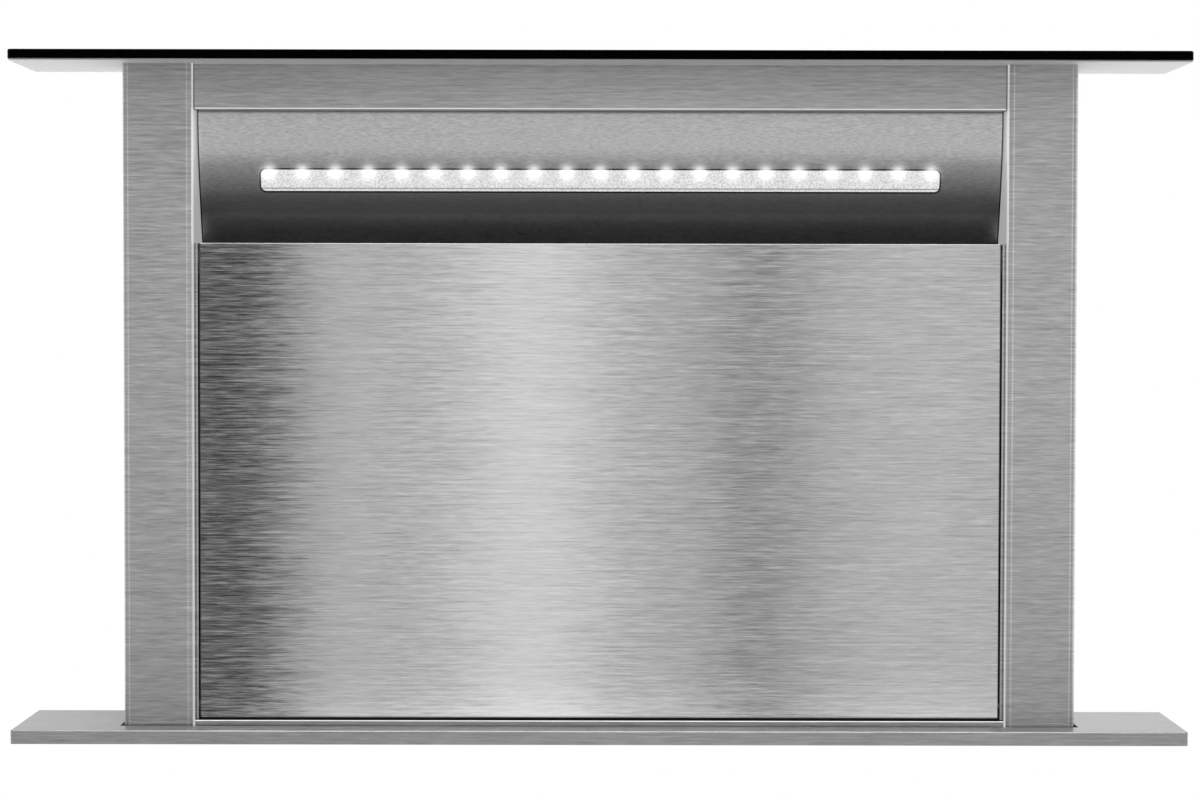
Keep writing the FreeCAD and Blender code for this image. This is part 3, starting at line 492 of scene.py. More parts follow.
# %% The speckle group
def build_speckle():
    tree, given, out = group_tree("Speckle", {"Fine": 900.0, "Broad": 6.0}, ["Drift", "Grain"])
    fine = noise(tree, given["Fine"], 2.0)
    wide = noise(tree, given["Broad"], 3.0)
    blend = plus(tree, times(tree, fine, 0.6), times(tree, wide, 0.4))
    tree.links.new(ramp(tree, blend, [(0.35, 0.0), (0.65, 1.0)]), out["Drift"])
    tree.links.new(fine, out["Grain"])
    return tree


SPECKLE = build_speckle()
print("group", SPECKLE.name)

# %% Plain finishes
def speckled(name, dark, light, rough, metallic=0.0, scale=900.0, bump=0.05, broad=6.0):
    """A material whose colour drifts between two close tints, with a fine grained surface."""
    mat, tree, shader = new_material(name)
    speckle = use_group(tree, SPECKLE, Fine=scale, Broad=broad)
    tree.links.new(mix_grey(tree, speckle["Drift"], dark, light), shader.inputs["Base Color"])
    tree.links.new(plus(tree, times(tree, speckle["Drift"], 0.08), rough - 0.04), shader.inputs["Roughness"])
    relief = add(tree, "ShaderNodeBump", Strength=bump, Distance=0.0003)
    tree.links.new(speckle["Grain"], relief.inputs["Height"])
    tree.links.new(relief.outputs[0], shader.inputs["Normal"])
    constants(shader, Metallic=metallic)
    return mat


def galvanized_sheet():
    """Zinc coated sheet: flat crystals of slightly different grey, each a few millimetres wide."""
    mat, tree, shader = new_material("zinc_sheet")
    coord, cells = add(tree, "ShaderNodeTexCoord"), add(tree, "ShaderNodeTexVoronoi", Scale=150.0)
    tree.links.new(coord.outputs["Object"], cells.inputs["Vector"])
    pick = add(tree, "ShaderNodeSeparateColor")
    tree.links.new(cells.outputs["Color"], pick.inputs[0])
    tree.links.new(mix_grey(tree, pick.outputs[0], (0.44, 0.46, 0.47), (0.60, 0.61, 0.62)),
                   shader.inputs["Base Color"])
    tree.links.new(plus(tree, times(tree, pick.outputs[1], 0.16), 0.38), shader.inputs["Roughness"])
    constants(shader, Metallic=0.85)
    return mat


zinc = galvanized_sheet()
machine_steel = speckled("turned_steel", (0.50, 0.50, 0.51), (0.60, 0.60, 0.61), 0.30, 1.0)
bronze = speckled("bronze", (0.46, 0.31, 0.13), (0.56, 0.40, 0.19), 0.35, 1.0)
aluminium = speckled("aluminium", (0.60, 0.61, 0.62), (0.70, 0.71, 0.72), 0.38, 1.0)
black_plastic = speckled("black_plastic", (0.018, 0.018, 0.019), (0.032, 0.032, 0.033), 0.52, bump=0.15)
grey_plastic = speckled("grey_plastic", (0.085, 0.088, 0.092), (0.12, 0.123, 0.128), 0.50, bump=0.15)
white_plastic = speckled("white_plastic", (0.70, 0.70, 0.67), (0.78, 0.78, 0.75), 0.45, bump=0.1)
rubber = speckled("rubber", (0.014, 0.014, 0.014), (0.028, 0.028, 0.028), 0.75, bump=0.2)
foam = speckled("foam", (0.02, 0.02, 0.021), (0.05, 0.05, 0.052), 0.9, scale=1600.0, bump=0.6)
board_green = speckled("board_green", (0.010, 0.065, 0.030), (0.018, 0.10, 0.048), 0.40)
dark_magnet = speckled("dark_magnet", (0.10, 0.10, 0.105), (0.16, 0.16, 0.165), 0.35, 0.8)
motor_paint = speckled("motor_paint", (0.018, 0.018, 0.020), (0.035, 0.035, 0.037), 0.40, bump=0.2)
pale_plate = speckled("pale_plate", (0.76, 0.76, 0.75), (0.82, 0.82, 0.81), 0.55, bump=0.02, broad=3.0)
print("plain finishes ready")

# %% [markdown]
# ## Glass and light
# The cap is back-painted black glass: its faces mirror the room, while the ground edge stays a dead black, so
# the way a face looks chooses between the two. The lens is a mottled milky bar with a moulded line along its
# foot. A lens that only let the light of lamps through would be noisy, so its light is its own.

# %% Glass and lens
def black_glass():
    mat, tree, shader = new_material("black_glass")
    haze = noise(tree, 14.0, 3.0)
    ground = minus(tree, 1.0, above(tree, magnitude(tree, facing(tree)["Z"]), 0.9))
    tree.links.new(plus(tree, times(tree, haze, 0.05), times(tree, ground, 0.55)), shader.inputs["Roughness"])
    tree.links.new(mix_grey(tree, haze, (0.0006, 0.0006, 0.0007), (0.002, 0.002, 0.0022)),
                   shader.inputs["Base Color"])
    tree.links.new(ground, shader.inputs["Metallic"])
    return mat


LENS_LINE = 0.3611  # height of the moulded line along the lens's foot


def lit_lens():
    """A milky bar: even light, a dark moulded line along its foot, and a round of light at every point."""
    mat, tree, shader = new_material("lens_glow")
    mottle = ramp(tree, noise(tree, 900.0, 2.0), [(0.35, 0.0), (0.65, 1.0)])
    even = plus(tree, times(tree, mottle, 0.26), 0.33)
    foot = where(tree, near(tree, object_place(tree)["Z"], LENS_LINE, LINE_HALF), 0.45)
    both = plus(tree, times(tree, even, foot), times(tree, use_group(tree, ROUNDS)["Light"], 0.8))
    tree.links.new(grey(tree, both), shader.inputs["Emission Color"])
    milky = mix_grey(tree, mottle, (0.70, 0.70, 0.69), (0.84, 0.84, 0.83))
    tree.links.new(multiply(tree, milky, foot), shader.inputs["Base Color"])
    constants(shader, Emission_Strength=1.0, Roughness=0.4)
    return mat


def lit_points():
    """The light points behind the lens: a bright, faintly uneven white."""
    mat, tree, shader = new_material("led_glow")
    cloud = noise(tree, 60.0, 2.0)
    tree.links.new(mix_grey(tree, cloud, (0.96, 0.9504, 0.9216), (1.0, 0.99, 0.96)),
                   shader.inputs["Emission Color"])
    tree.links.new(mix_grey(tree, cloud, (0.78, 0.78, 0.77), (0.84, 0.84, 0.83)), shader.inputs["Base Color"])
    constants(shader, Emission_Strength=2.0, Roughness=0.4)
    return mat


glass_black = black_glass()
lens_glow = lit_lens()
led_glow = lit_points()
print("glass and lens ready")

# %% [markdown]
# ## Dress the CAD nodes
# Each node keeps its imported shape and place; only its material changes. The list goes by finish, because a
# maker buys and finishes parts that way, and a node that is left out would show in the printed line.

# %% Assign materials
FINISHES = {
    panel_steel: ["panel_skin"],
    satin_steel: ["column_left", "column_right", "top_rail", "bottom_rail", "tower_back", "filter_sill"],
    trim_steel: ["trim_flange"],
    baffle_steel: ["air_baffle"],
    glass_black: ["glass_top"],
    pale_plate: ["cap_plate"],
    lens_glow: ["light_lens"],
    led_glow: ["light_board"],
    zinc: ["panel_liner", "catch_plates", "nut_brackets", "housing_front", "housing_back", "housing_sides",
           "housing_floor", "drive_cover", "scroll_back", "scroll_wrap", "scroll_front", "duct_collar",
           "damper_flap_left", "damper_flap_right", "control_box", "control_cover", "mounting_brackets"],
    aluminium: ["light_channel", "filter_frames", "filter_meshes", "guide_rails", "screw_bearings",
                "belt_pulley_left", "belt_pulley_right"],
    machine_steel: ["lead_screw_left", "lead_screw_right", "wheel_shaft", "damper_pin"],
    bronze: ["lead_nuts"],
    white_plastic: ["guide_shoes"],
    black_plastic: ["cap_blocks", "position_sensors", "inlet_ring", "cable_gland"],
    grey_plastic: ["filter_latch_left", "filter_latch_right", "blower_wheel"],
    rubber: ["slot_seal", "drive_belt"],
    foam: ["trim_gasket"],
    board_green: ["control_board"],
    dark_magnet: ["panel_magnets", "sensor_magnet", "hinge_pins"],
    motor_paint: ["lift_motor", "blower_motor"],
}
dressed = set()
for material, names in FINISHES.items():
    for name in names:
        if not nodes[name].material_slots:
            nodes[name].data.materials.append(material)
        for slot in nodes[name].material_slots:
            slot.material = material
        dressed.add(name)
print("dressed", len(dressed), "of", len(nodes), "left:", sorted(set(nodes) - dressed))

# %% [markdown]
# ## Camera
# The photograph was taken level with the upper part of the tower and almost square on, with a long lens: the
# cap's underside and the flange's upper side both show. The camera has a very slight roll. A matrix of its
# place and turns sets it, because a target to look at would hide those small angles.

# %% Camera
camera_data = bpy.data.cameras.new("camera")
camera = bpy.data.objects.new("camera", camera_data)
scene.collection.objects.link(camera)
CAMERA_AT = Vector((0.0001, -1.8025, 0.2794))
PITCH, ROLL = math.radians(-1.831), math.radians(0.106)
FOCAL, SENSOR, FAR = 81.92, 36.0, 40.0  # the lens and sensor in millimetres, the far end in metres
camera.matrix_world = (Matrix.Translation(CAMERA_AT) @ Matrix.Rotation(math.radians(90) + PITCH, 4, "X")
                       @ Matrix.Rotation(ROLL, 4, "Z"))
camera_data.lens, camera_data.sensor_width, camera_data.clip_end = FOCAL, SENSOR, FAR
scene.camera = camera
print("camera at", [round(v, 4) for v in CAMERA_AT])

# %% [markdown]
# ## The room
# Brushed steel shows mostly what it mirrors. To camera rays the world is plain white. To glossy rays it is a
# studio with soft upright panels and gaps between them, which the front panel's grain draws out as bands. To
# scattered light it is an even sky, brighter behind the vent than in front of it, so the cap's pale underside
# is lit while the intake stays in shade. A picture of a room could do this too, but a ramp of greys over the
# direction says plainly where each band lies.

# %% The studio's bands
# (place over direction x, brightness): 0.5 is straight ahead, 0.135 and 0.865 are the front panel's edges
BANDS = [(0.0, 0.60), (0.09, 0.52), (0.122, 0.05), (0.135, 0.0), (0.180, 0.0), (0.198, 0.12),
         (0.224, 0.56), (0.263, 0.82), (0.302, 0.58), (0.372, 0.76), (0.435, 1.12), (0.485, 0.88),
         (0.520, 0.63), (0.59, 0.66), (0.627, 0.32), (0.651, 0.25), (0.672, 0.52), (0.72, 0.66),
         (0.79, 0.74), (0.865, 0.66), (0.90, 0.64), (1.0, 0.60)]
HEIGHTS = [(0.0, 0.8), (0.27, 0.85), (0.38, 0.95), (0.47, 1.0), (0.52, 1.0), (0.62, 0.85), (1.0, 0.8)]
SPREAD = 2.5  # how far the bands are drawn in to the middle
SIDE = (1.2, 1.2, 1.2)  # a bright wall far to the right


def direction(tree):
    """The x, y and z of the way a ray looks into the world."""
    coord, xyz = add(tree, "ShaderNodeTexCoord"), add(tree, "ShaderNodeSeparateXYZ")
    tree.links.new(coord.outputs["Generated"], xyz.inputs[0])
    return xyz.outputs


def mirrored_room(tree):
    """What glossy rays see: bands and heights, twice as bright behind the vent, and one white side."""
    way = direction(tree)
    studio = ramp(tree, plus(tree, times(tree, way["X"], SPREAD), 0.5), BANDS)
    height = ramp(tree, plus(tree, times(tree, way["Z"], 0.5), 0.5), HEIGHTS)
    bright_back = plus(tree, above(tree, way["Y"], 0.2), 1.0)
    room = multiply(tree, multiply(tree, studio, height), bright_back)
    side = add(tree, "ShaderNodeMix", data_type="RGBA")
    side.inputs["B"].default_value = (*SIDE, 1)
    tree.links.new(ramp(tree, way["X"], [(0.90, 0.0), (0.99, 1.0)]), side.inputs["Factor"])
    tree.links.new(room, side.inputs["A"])
    return side.outputs["Result"]


def choose(tree, question, no, yes):
    """One shader where a ray's question is answered with 0, and another where it is 1."""
    mix = add(tree, "ShaderNodeMixShader")
    for i, source in enumerate((question, no.outputs[0], yes.outputs[0])):
        tree.links.new(source, mix.inputs[i])
    return mix


print("bands", len(BANDS))

# %% World
def build_world():
    world = bpy.data.worlds.new("studio")
    scene.world = world
    world.use_nodes = True
    tree = world.node_tree
    tree.nodes.clear()
    link = tree.links.new
    gloss = add(tree, "ShaderNodeBackground", Strength=1.0)
    link(mirrored_room(tree), gloss.inputs["Color"])
    soft = add(tree, "ShaderNodeBackground", Strength=1.0)
    behind = plus(tree, times(tree, direction(tree)["Y"], 0.5), 0.5)
    link(ramp(tree, behind, [(0.35, 0.15), (0.65, 0.92)]), soft.inputs["Color"])
    seen = add(tree, "ShaderNodeBackground", Strength=1.0, Color=(1, 1, 1, 1))
    path = add(tree, "ShaderNodeLightPath").outputs
    unseen = choose(tree, path["Is Glossy Ray"], soft, gloss)
    shown = choose(tree, path["Is Camera Ray"], unseen, seen)
    link(shown.outputs[0], add(tree, "ShaderNodeOutputWorld").inputs["Surface"])


build_world()
scene.view_settings.view_transform = "Standard"
print("world ready")

# %% [markdown]
# ## The stage
# Only two plain things stand round the vent, and neither is part of it: a pale floor below it, and a narrow
# white card under the flange's front edge, where the worktop's edge would be. In the photograph nothing shows
# below the flange, and so narrow a card leaves the housing in sight from every other side. Both look white
# through their material and not through more light, so they don't lighten the vent.

# %% Paper white
def paper_white(name, shade, mirrored_shade=None):
    """White to the camera, pale to scattered light, and a grey, or nothing, in what steel mirrors."""
    mat = bpy.data.materials.new(name)
    mat.use_nodes = True
    tree = mat.node_tree
    tree.nodes.clear()
    diffuse = add(tree, "ShaderNodeBsdfDiffuse")
    tree.links.new(mix_grey(tree, noise(tree, 8.0, 2.0), (shade - 0.01,) * 3, (shade + 0.01,) * 3),
                   diffuse.inputs["Color"])
    glow = add(tree, "ShaderNodeEmission", Strength=1.0, Color=(1, 1, 1, 1))
    dim = add(tree, "ShaderNodeBsdfDiffuse" if mirrored_shade else "ShaderNodeBsdfTransparent",
              Color=(mirrored_shade or 1.0,) * 3 + (1,))
    path = add(tree, "ShaderNodeLightPath").outputs
    unseen = choose(tree, path["Is Glossy Ray"], diffuse, dim)
    shown = choose(tree, path["Is Camera Ray"], unseen, glow)
    tree.links.new(shown.outputs[0], add(tree, "ShaderNodeOutputMaterial").inputs["Surface"])
    return mat


print("paper white ready")

# %% Mesh helpers
def new_object(name, bm, material=None):
    """A mesh object at the origin from a bmesh, which is freed."""
    mesh = bpy.data.meshes.new(name)
    bmesh.ops.recalc_face_normals(bm, faces=bm.faces)
    bm.to_mesh(mesh)
    bm.free()
    obj = bpy.data.objects.new(name, mesh)
    scene.collection.objects.link(obj)
    if material:
        mesh.materials.append(material)
    return obj


def add_box(bm, low, high):
    """Adds a closed box between two corners."""
    for v in bmesh.ops.create_cube(bm, size=1.0)["verts"]:
        v.co = Vector([(low[i] + high[i]) / 2 + v.co[i] * (high[i] - low[i]) for i in range(3)])


def skin(bm, rings, caps=True):
    """Joins closed rings of corners in a row, and closes both ends."""
    for a, b in zip(rings, rings[1:]):
        for k in range(len(a)):
            n = (k + 1) % len(a)
            bm.faces.new([a[k], a[n], b[n], b[k]])
    if caps:
        bm.faces.new(rings[0])
        bm.faces.new(rings[-1])


print("mesh helpers ready")

# %% Card and floor
CARD_LOW, CARD_HIGH = (-0.37, -0.0446, -0.0399), (0.37, -0.0390, -0.0001)
FLOOR_Z, FLOOR_HALF = -0.6935, 1.6

bm = bmesh.new()
add_box(bm, CARD_LOW, CARD_HIGH)
worktop_edge = new_object("worktop_edge", bm, paper_white("worktop_white", 0.85))
bm = bmesh.new()
bmesh.ops.create_grid(bm, x_segments=1, y_segments=1, size=FLOOR_HALF)
for v in bm.verts:
    v.co.z = FLOOR_Z
floor = new_object("floor", bm, paper_white("floor_white", 0.85, 0.80))
print("stage ready")

# %% [markdown]
# ## Lights
# A wide soft light stands above and in front, and a weak one low behind the tower lifts the cap's underside.
# Small hard lamps would put glints on every edge, where the photograph has none.

# %% Lights
def area_light(name, place, aim, width, height, watts):
    data = bpy.data.lights.new(name, "AREA")
    data.shape = "RECTANGLE"
    data.size, data.size_y = width, height
    data.energy = watts
    light = bpy.data.objects.new(name, data)
    scene.collection.objects.link(light)
    way = Vector(aim) - Vector(place)
    light.matrix_world = Matrix.Translation(place) @ way.to_track_quat("-Z", "Y").to_matrix().to_4x4()
    return light


area_light("top_light", (0.0, -1.2, 2.2), (0.0, 0.0, 0.2), 2.4, 1.6, 26.0)
low = area_light("low_light", (0.0, 1.3, -0.25), (0.0, 0.0, 0.42), 1.8, 0.6, 12.0)
low.visible_camera = low.visible_glossy = False

# %% [markdown]
# ## Screws, rivets and nuts
# Small fasteners repeat, so each kind is modelled once and a Geometry Nodes group puts it on a cloud of
# points. A point carries the direction its head faces, as an attribute.

# %% Fastener templates
def put(name, bm, material, body, smooth=35.0):
    """Finishes a piece that rides on a body, or a hidden template: smooth shading with sharp edges."""
    obj = new_object(name, bm, material)
    for polygon in obj.data.polygons:
        polygon.use_smooth = True
    obj.data.set_sharp_from_angle(angle=math.radians(smooth))
    obj.hide_render = obj.hide_viewport = body is None
    if body:
        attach(obj, body)
    return obj


def lathe(bm, profile, sides, place=(0, 0, 0)):
    """Revolves (radius, height) points about Z; a radius of 0 closes that end."""
    rings = []
    for radius, height in profile:
        angles = [2 * math.pi * i / sides for i in range(1 if radius == 0 else sides)]
        corners = [Vector((radius * math.cos(a), radius * math.sin(a), height)) for a in angles]
        rings.append([bm.verts.new(Vector(place) + corner) for corner in corners])
    for a, b in zip(rings, rings[1:]):
        for i in range(sides):
            quad = [a[i % len(a)], a[(i + 1) % len(a)], b[(i + 1) % len(b)], b[i % len(b)]]
            bm.faces.new(list(dict.fromkeys(quad)))


def socket_screw():
    """Button head with a hexagon socket and a stub of its shank; the head faces +Z, in metres."""
    bm = bmesh.new()
    lathe(bm, [(0, -0.004), (0.0015, -0.004), (0.0015, 0), (0.0032, 0), (0.0032, 0.0008), (0.0027, 0.0017),
               (0.0018, 0.0021)], 12)
    rim = [v for v in bm.verts if v.co.z > 0.00205]
    rim.sort(key=lambda v: math.atan2(v.co.y, v.co.x))
    low = [bm.verts.new((0.0013 * math.cos(math.pi * k / 3), 0.0013 * math.sin(math.pi * k / 3), z))
           for z in (0.0021, 0.0008) for k in range(6)]
    for k in range(6):
        a, b = low[k], low[(k + 1) % 6]
        outer = sorted(rim, key=lambda v: (v.co.xy - a.co.xy).length)[0]
        nxt = sorted(rim, key=lambda v: (v.co.xy - b.co.xy).length)[0]
        between = rim[(rim.index(outer) + 1) % 12]
        bm.faces.new([outer, between, nxt, b, a])
        bm.faces.new([a, b, low[6 + (k + 1) % 6], low[6 + k]])
    bm.faces.new(low[6:])
    return put("screw_template", bm, machine_steel, None)


def blind_rivet():
    bm = bmesh.new()
    lathe(bm, [(0, -0.0015), (0.0016, -0.0015), (0.0016, 0), (0.0030, 0), (0.0028, 0.0007), (0.0017, 0.0012),
               (0.0008, 0.0012), (0.0007, 0.0006), (0, 0.0006)], 12)
    return put("rivet_template", bm, aluminium, None)


def flange_nut():
    bm = bmesh.new()
    lathe(bm, [(0.0016, 0), (0.0034, 0), (0.0034, 0.0005), (0.0030, 0.0008)], 18)
    lathe(bm, [(0.0030, 0.0006), (0.0030, 0.0026), (0.0016, 0.0026), (0.0016, 0)], 6)
    return put("nut_template", bm, machine_steel, None)


templates = {"screw": socket_screw(), "rivet": blind_rivet(), "nut": flange_nut()}
print("templates", {k: len(t.data.polygons) for k, t in templates.items()})

# %% The scatter group
def socket(tree, label, kind, default=None):
    s = tree.interface.new_socket(label, in_out="INPUT", socket_type=kind)
    if default is not None:
        s.default_value = default
    return s.identifier


def build_scatter():
    """Puts a template on every point, its +Z turned to the point's aim, a little spun at random."""
    tree = bpy.data.node_groups.new("FastenerScatter", "GeometryNodeTree")
    socket(tree, "Geometry", "NodeSocketGeometry")
    ids = {"Template": socket(tree, "Template", "NodeSocketObject"),
           "Size": socket(tree, "Size", "NodeSocketFloat", 1.0),
           "Spin": socket(tree, "Spin", "NodeSocketFloat", 1.05),
           "Seed": socket(tree, "Seed", "NodeSocketInt", 3),
           "Finish": socket(tree, "Finish", "NodeSocketMaterial")}
    tree.interface.new_socket("Geometry", in_out="OUTPUT", socket_type="NodeSocketGeometry")
    given, out = add(tree, "NodeGroupInput").outputs, add(tree, "NodeGroupOutput").inputs
    points, info = add(tree, "GeometryNodeMeshToPoints"), add(tree, "GeometryNodeObjectInfo")
    aim = add(tree, "GeometryNodeInputNamedAttribute", data_type="FLOAT_VECTOR", Name="aim")
    turn = add(tree, "FunctionNodeAlignRotationToVector", axis="Z")
    place, spin = add(tree, "GeometryNodeInstanceOnPoints"), add(tree, "GeometryNodeRotateInstances")
    angle, about = add(tree, "FunctionNodeRandomValue", data_type="FLOAT"), add(tree, "ShaderNodeCombineXYZ")
    real, paint = add(tree, "GeometryNodeRealizeInstances"), add(tree, "GeometryNodeSetMaterial")
    for source, sink in ((given["Geometry"], points.inputs["Mesh"]),
                         (given["Template"], info.inputs["Object"]),
                         (points.outputs[0], place.inputs["Points"]),
                         (info.outputs["Geometry"], place.inputs["Instance"]),
                         (aim.outputs[0], turn.inputs["Vector"]), (turn.outputs[0], place.inputs["Rotation"]),
                         (given["Size"], place.inputs["Scale"]), (given["Seed"], angle.inputs["Seed"]),
                         (given["Spin"], angle.inputs[3]), (angle.outputs[1], about.inputs["Z"]),
                         (place.outputs[0], spin.inputs["Instances"]),
                         (about.outputs[0], spin.inputs["Rotation"]),
                         (spin.outputs[0], real.inputs[0]), (real.outputs[0], paint.inputs["Geometry"]),
                         (given["Finish"], paint.inputs["Material"]), (paint.outputs[0], out[0])):
        tree.links.new(source, sink)
    return tree, ids


SCATTER, SCATTER_ID = build_scatter()


def scatter(name, kind, body, spots, size=1.0, spin=1.05, turn=None):
    """Places a template at (position, aim) spots in millimetres as one plain mesh on one body."""
    cloud = bpy.data.meshes.new(name + "_points")
    cloud.from_pydata([[c / 1000 for c in p] for p, _ in spots], [], [])
    aims = cloud.attributes.new("aim", "FLOAT_VECTOR", "POINT")
    aims.data.foreach_set("vector", [c for _, way in spots for c in way])
    carrier = bpy.data.objects.new(name + "_points", cloud)
    scene.collection.objects.link(carrier)
    modifier = carrier.modifiers.new("scatter", "NODES")
    modifier.node_group = SCATTER
    modifier[SCATTER_ID["Template"]] = templates[kind]
    modifier[SCATTER_ID["Size"]] = size
    modifier[SCATTER_ID["Spin"]] = spin
    modifier[SCATTER_ID["Finish"]] = templates[kind].data.materials[0]
    graph = bpy.context.evaluated_depsgraph_get()
    mesh = bpy.data.meshes.new_from_object(carrier.evaluated_get(graph))
    bpy.data.objects.remove(carrier)
    if turn:
        mesh.transform(turn)
    obj = bpy.data.objects.new(name, mesh)
    scene.collection.objects.link(obj)
    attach(obj, body)
    return obj


print("scatter inputs", SCATTER_ID)

# %% [markdown]
# The positions are the real ones: in the corners of covers and flanges, along the housing's seams, and on the
# studs that hold the flange to the housing.

# %% Places of the fasteners, in millimetres
DOWN, FRONT, BACK, RIGHT, LEFT = (0, 0, -1), (0, -1, 0), (0, 1, 0), (1, 0, 0), (-1, 0, 0)
SIDES = (-1, 1)
QUARTERS = [math.radians(45 + 90 * i) for i in range(4)]
LID_Y, SIDE_X, COVER_Z = -77.4, 334.7, -582  # faces of the control lid, the brackets and the drive cover
FAN_Y, FAN_Z, FAN_BOLTS = -118.4, -395.0, 49  # the blower motor's foot ring: its face, axis and bolt circle
DUCT_X, DUCT_Y, DUCT_Z = (38.3, 140.2), (-119.4, -78, -38), -547
SCREW_X, SCREW_Y, NUT_BOLTS, MOTOR_BOLTS = 288, 3, 14.4, 21  # a lead screw's axis and what is round it
WALL_Y, SEAM_Z = (-28.2, 34.2), -539  # front and back wall of the housing, and their lower seam
STUD_X, STUD_Y, STUD_Z = (-300, -100, 100, 300), (-32.7, 38.7), 6.3
print("blower axis at", FAN_Z, "lead screws at", SCREW_X, SCREW_Y)

# %% Place the fasteners
spots = [((x, LID_Y, z), FRONT) for x in (-304, -158) for z in (-224, -70)]
spots += [((FAN_BOLTS * math.cos(a), FAN_Y, FAN_Z + FAN_BOLTS * math.sin(a)), FRONT) for a in QUARTERS]
spots += [((x, y, DUCT_Z), DOWN) for x in DUCT_X for y in DUCT_Y]
spots += [((89.3, DUCT_Y[0], DUCT_Z), DOWN)]
spots += [((s * x, y, COVER_Z), DOWN) for s in SIDES for x in (60, 190, 319) for y in (-21, 27)]
spots += [((s * SIDE_X, y, -78), RIGHT if s > 0 else LEFT) for s in SIDES for y in (-8, 14)]
spots += [((SCREW_X + a * MOTOR_BOLTS, SCREW_Y + b * MOTOR_BOLTS, -620), DOWN) for a in SIDES for b in SIDES]
scatter("housing_screws", "screw", "housing", spots)
rivets = [((s * 329.2, y, z), FRONT if y < 0 else BACK) for s in SIDES for y in WALL_Y
          for z in range(-525, -60, 66)]
rivets += [((x, y, SEAM_Z), FRONT if y < 0 else BACK) for y in WALL_Y for x in (-240, -160, 230)]
rivets += [((x, WALL_Y[1], SEAM_Z), BACK) for x in (-80, 0, 80, 160)]
scatter("housing_rivets", "rivet", "housing", rivets)
scatter("stud_nuts", "nut", "housing", [((x, y, STUD_Z), DOWN) for x in STUD_X for y in STUD_Y])
spots = [((s * SCREW_X + NUT_BOLTS * math.cos(a), SCREW_Y + NUT_BOLTS * math.sin(a), -68), DOWN)
         for s in SIDES for a in QUARTERS]
scatter("nut_flange_screws", "screw", "tower", spots, 0.6)
print("fasteners placed")

# %% [markdown]
# ## Lift drive
# The tower hangs on two trapezoid lead screws; each turn lifts it by 10 mm. The Screw modifier could wind the
# thread, but it leaves open ends, so a grid is wound into a helix, with its crests on the mesh lines.

# %% Lead screws
def lead_screw(name, x, journal_end):
    low, high, lead = -0.5245, -0.0140, 0.010
    root, crest, collar, journal = 0.0065, 0.0080, 0.0078, 0.0060
    sides, step, runout = 28, lead / 8, 8
    middle = (x, SCREW_Y / 1000, 0)
    # two starts: root, flank, crest and flank in every half lead
    depths = [root, root, crest, crest]
    bm = bmesh.new()
    grid = []
    for j in range(int((high - low) / step) + runout + 2):
        ring = []
        for i in range(sides + 1):
            z = low + (j - runout) * step + lead * i / sides
            r = depths[j % 4] if low < z < high else root
            a = 2 * math.pi * i / sides
            z = min(high, max(low, z))
            ring.append(bm.verts.new((x + r * math.cos(a), middle[1] + r * math.sin(a), z)))
        grid.append(ring)
    for a, b in zip(grid, grid[1:]):
        for i in range(sides):
            bm.faces.new([a[i], a[i + 1], b[i + 1], b[i]])
    bmesh.ops.remove_doubles(bm, verts=bm.verts, dist=1e-6)
    lathe(bm, [(0, journal_end), (journal - 0.0005, journal_end), (journal, journal_end + 0.0005),
               (journal, low), (collar, low), (collar, low + 0.0006), (root, low + 0.0006)], sides, middle)
    lathe(bm, [(root, high - 0.0005), (collar, high - 0.0005), (journal, high + 0.002), (0, high + 0.002)],
          sides, middle)
    body = "screw_right" if x > 0 else "screw_left"
    obj = put(name, bm, machine_steel, body, 30.0)
    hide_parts("lead_" + body)
    return obj


for name, x, end in (("thread_right", 0.288, -0.6015), ("thread_left", -0.288, -0.582)):
    print(name, len(lead_screw(name, x, end).data.polygons), "faces")

# %% [markdown]
# ## Filter mesh
# Each grease filter is a frame packed with layers of expanded metal. A sheet of it is a row of zigzag strands
# that touch their neighbours at the bends. The strands are laid flat here, then leaned back with the filters.

# %% Expanded metal layers
def zigzag_strand():
    """One strand along X: a closed ribbon 0.5 mm deep that swings 3.2 mm up and down every 7 mm."""
    bm = bmesh.new()
    half, rise, wide, deep, count = 0.0070, 0.0016, 0.0006, 0.00025, 35
    corners = ((-deep, -wide), (deep, -wide), (deep, wide), (-deep, wide))
    rings = []
    for i in range(count + 1):
        x, z = (i - count / 2) * half, rise if i % 2 else -rise
        rings.append([bm.verts.new((x, y, z + up)) for y, up in corners])
    skin(bm, rings)
    return put("strand_template", bm, aluminium, None, 20.0)


templates["strand"] = zigzag_strand()
LEAN = math.atan2(18.5, 294.0)
foot = Vector((0, -0.002, 0.015))
lean_back = Matrix.Translation(foot) @ Matrix.Rotation(-LEAN, 4, "X") @ Matrix.Translation(-foot)
rows = []
for side in SIDES:
    for layer in range(3):
        for k in range(88):
            shift = 3.5 if (k + layer) % 2 else -3.5
            rows.append(((side * 131.5 + shift, -4.1 + 2.1 * layer, 21.0 + 3.22 * k), (0, 0, 1)))
mesh_layers = scatter("mesh_layers", "strand", "tower", rows, spin=0.0, turn=lean_back)
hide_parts("filter_meshes")
print("mesh strands", len(rows), "faces", len(mesh_layers.data.polygons))

# %% [markdown]
# ## Pressed and moulded detail
# The closed motor sheds its heat through ribs along its can. The thin back wall is stiffened by three pressed
# beads, and the control box's lid breathes through louvres. A bump could hint at them, but they stand 1.4 to
# 2.5 mm proud and show from the side, so they are meshes; ribs and louvres are scattered like the screws.

# %% Motor ribs
def small_block(name, low, high, material):
    bm = bmesh.new()
    add_box(bm, low, high)
    return put(name, bm, material, None)


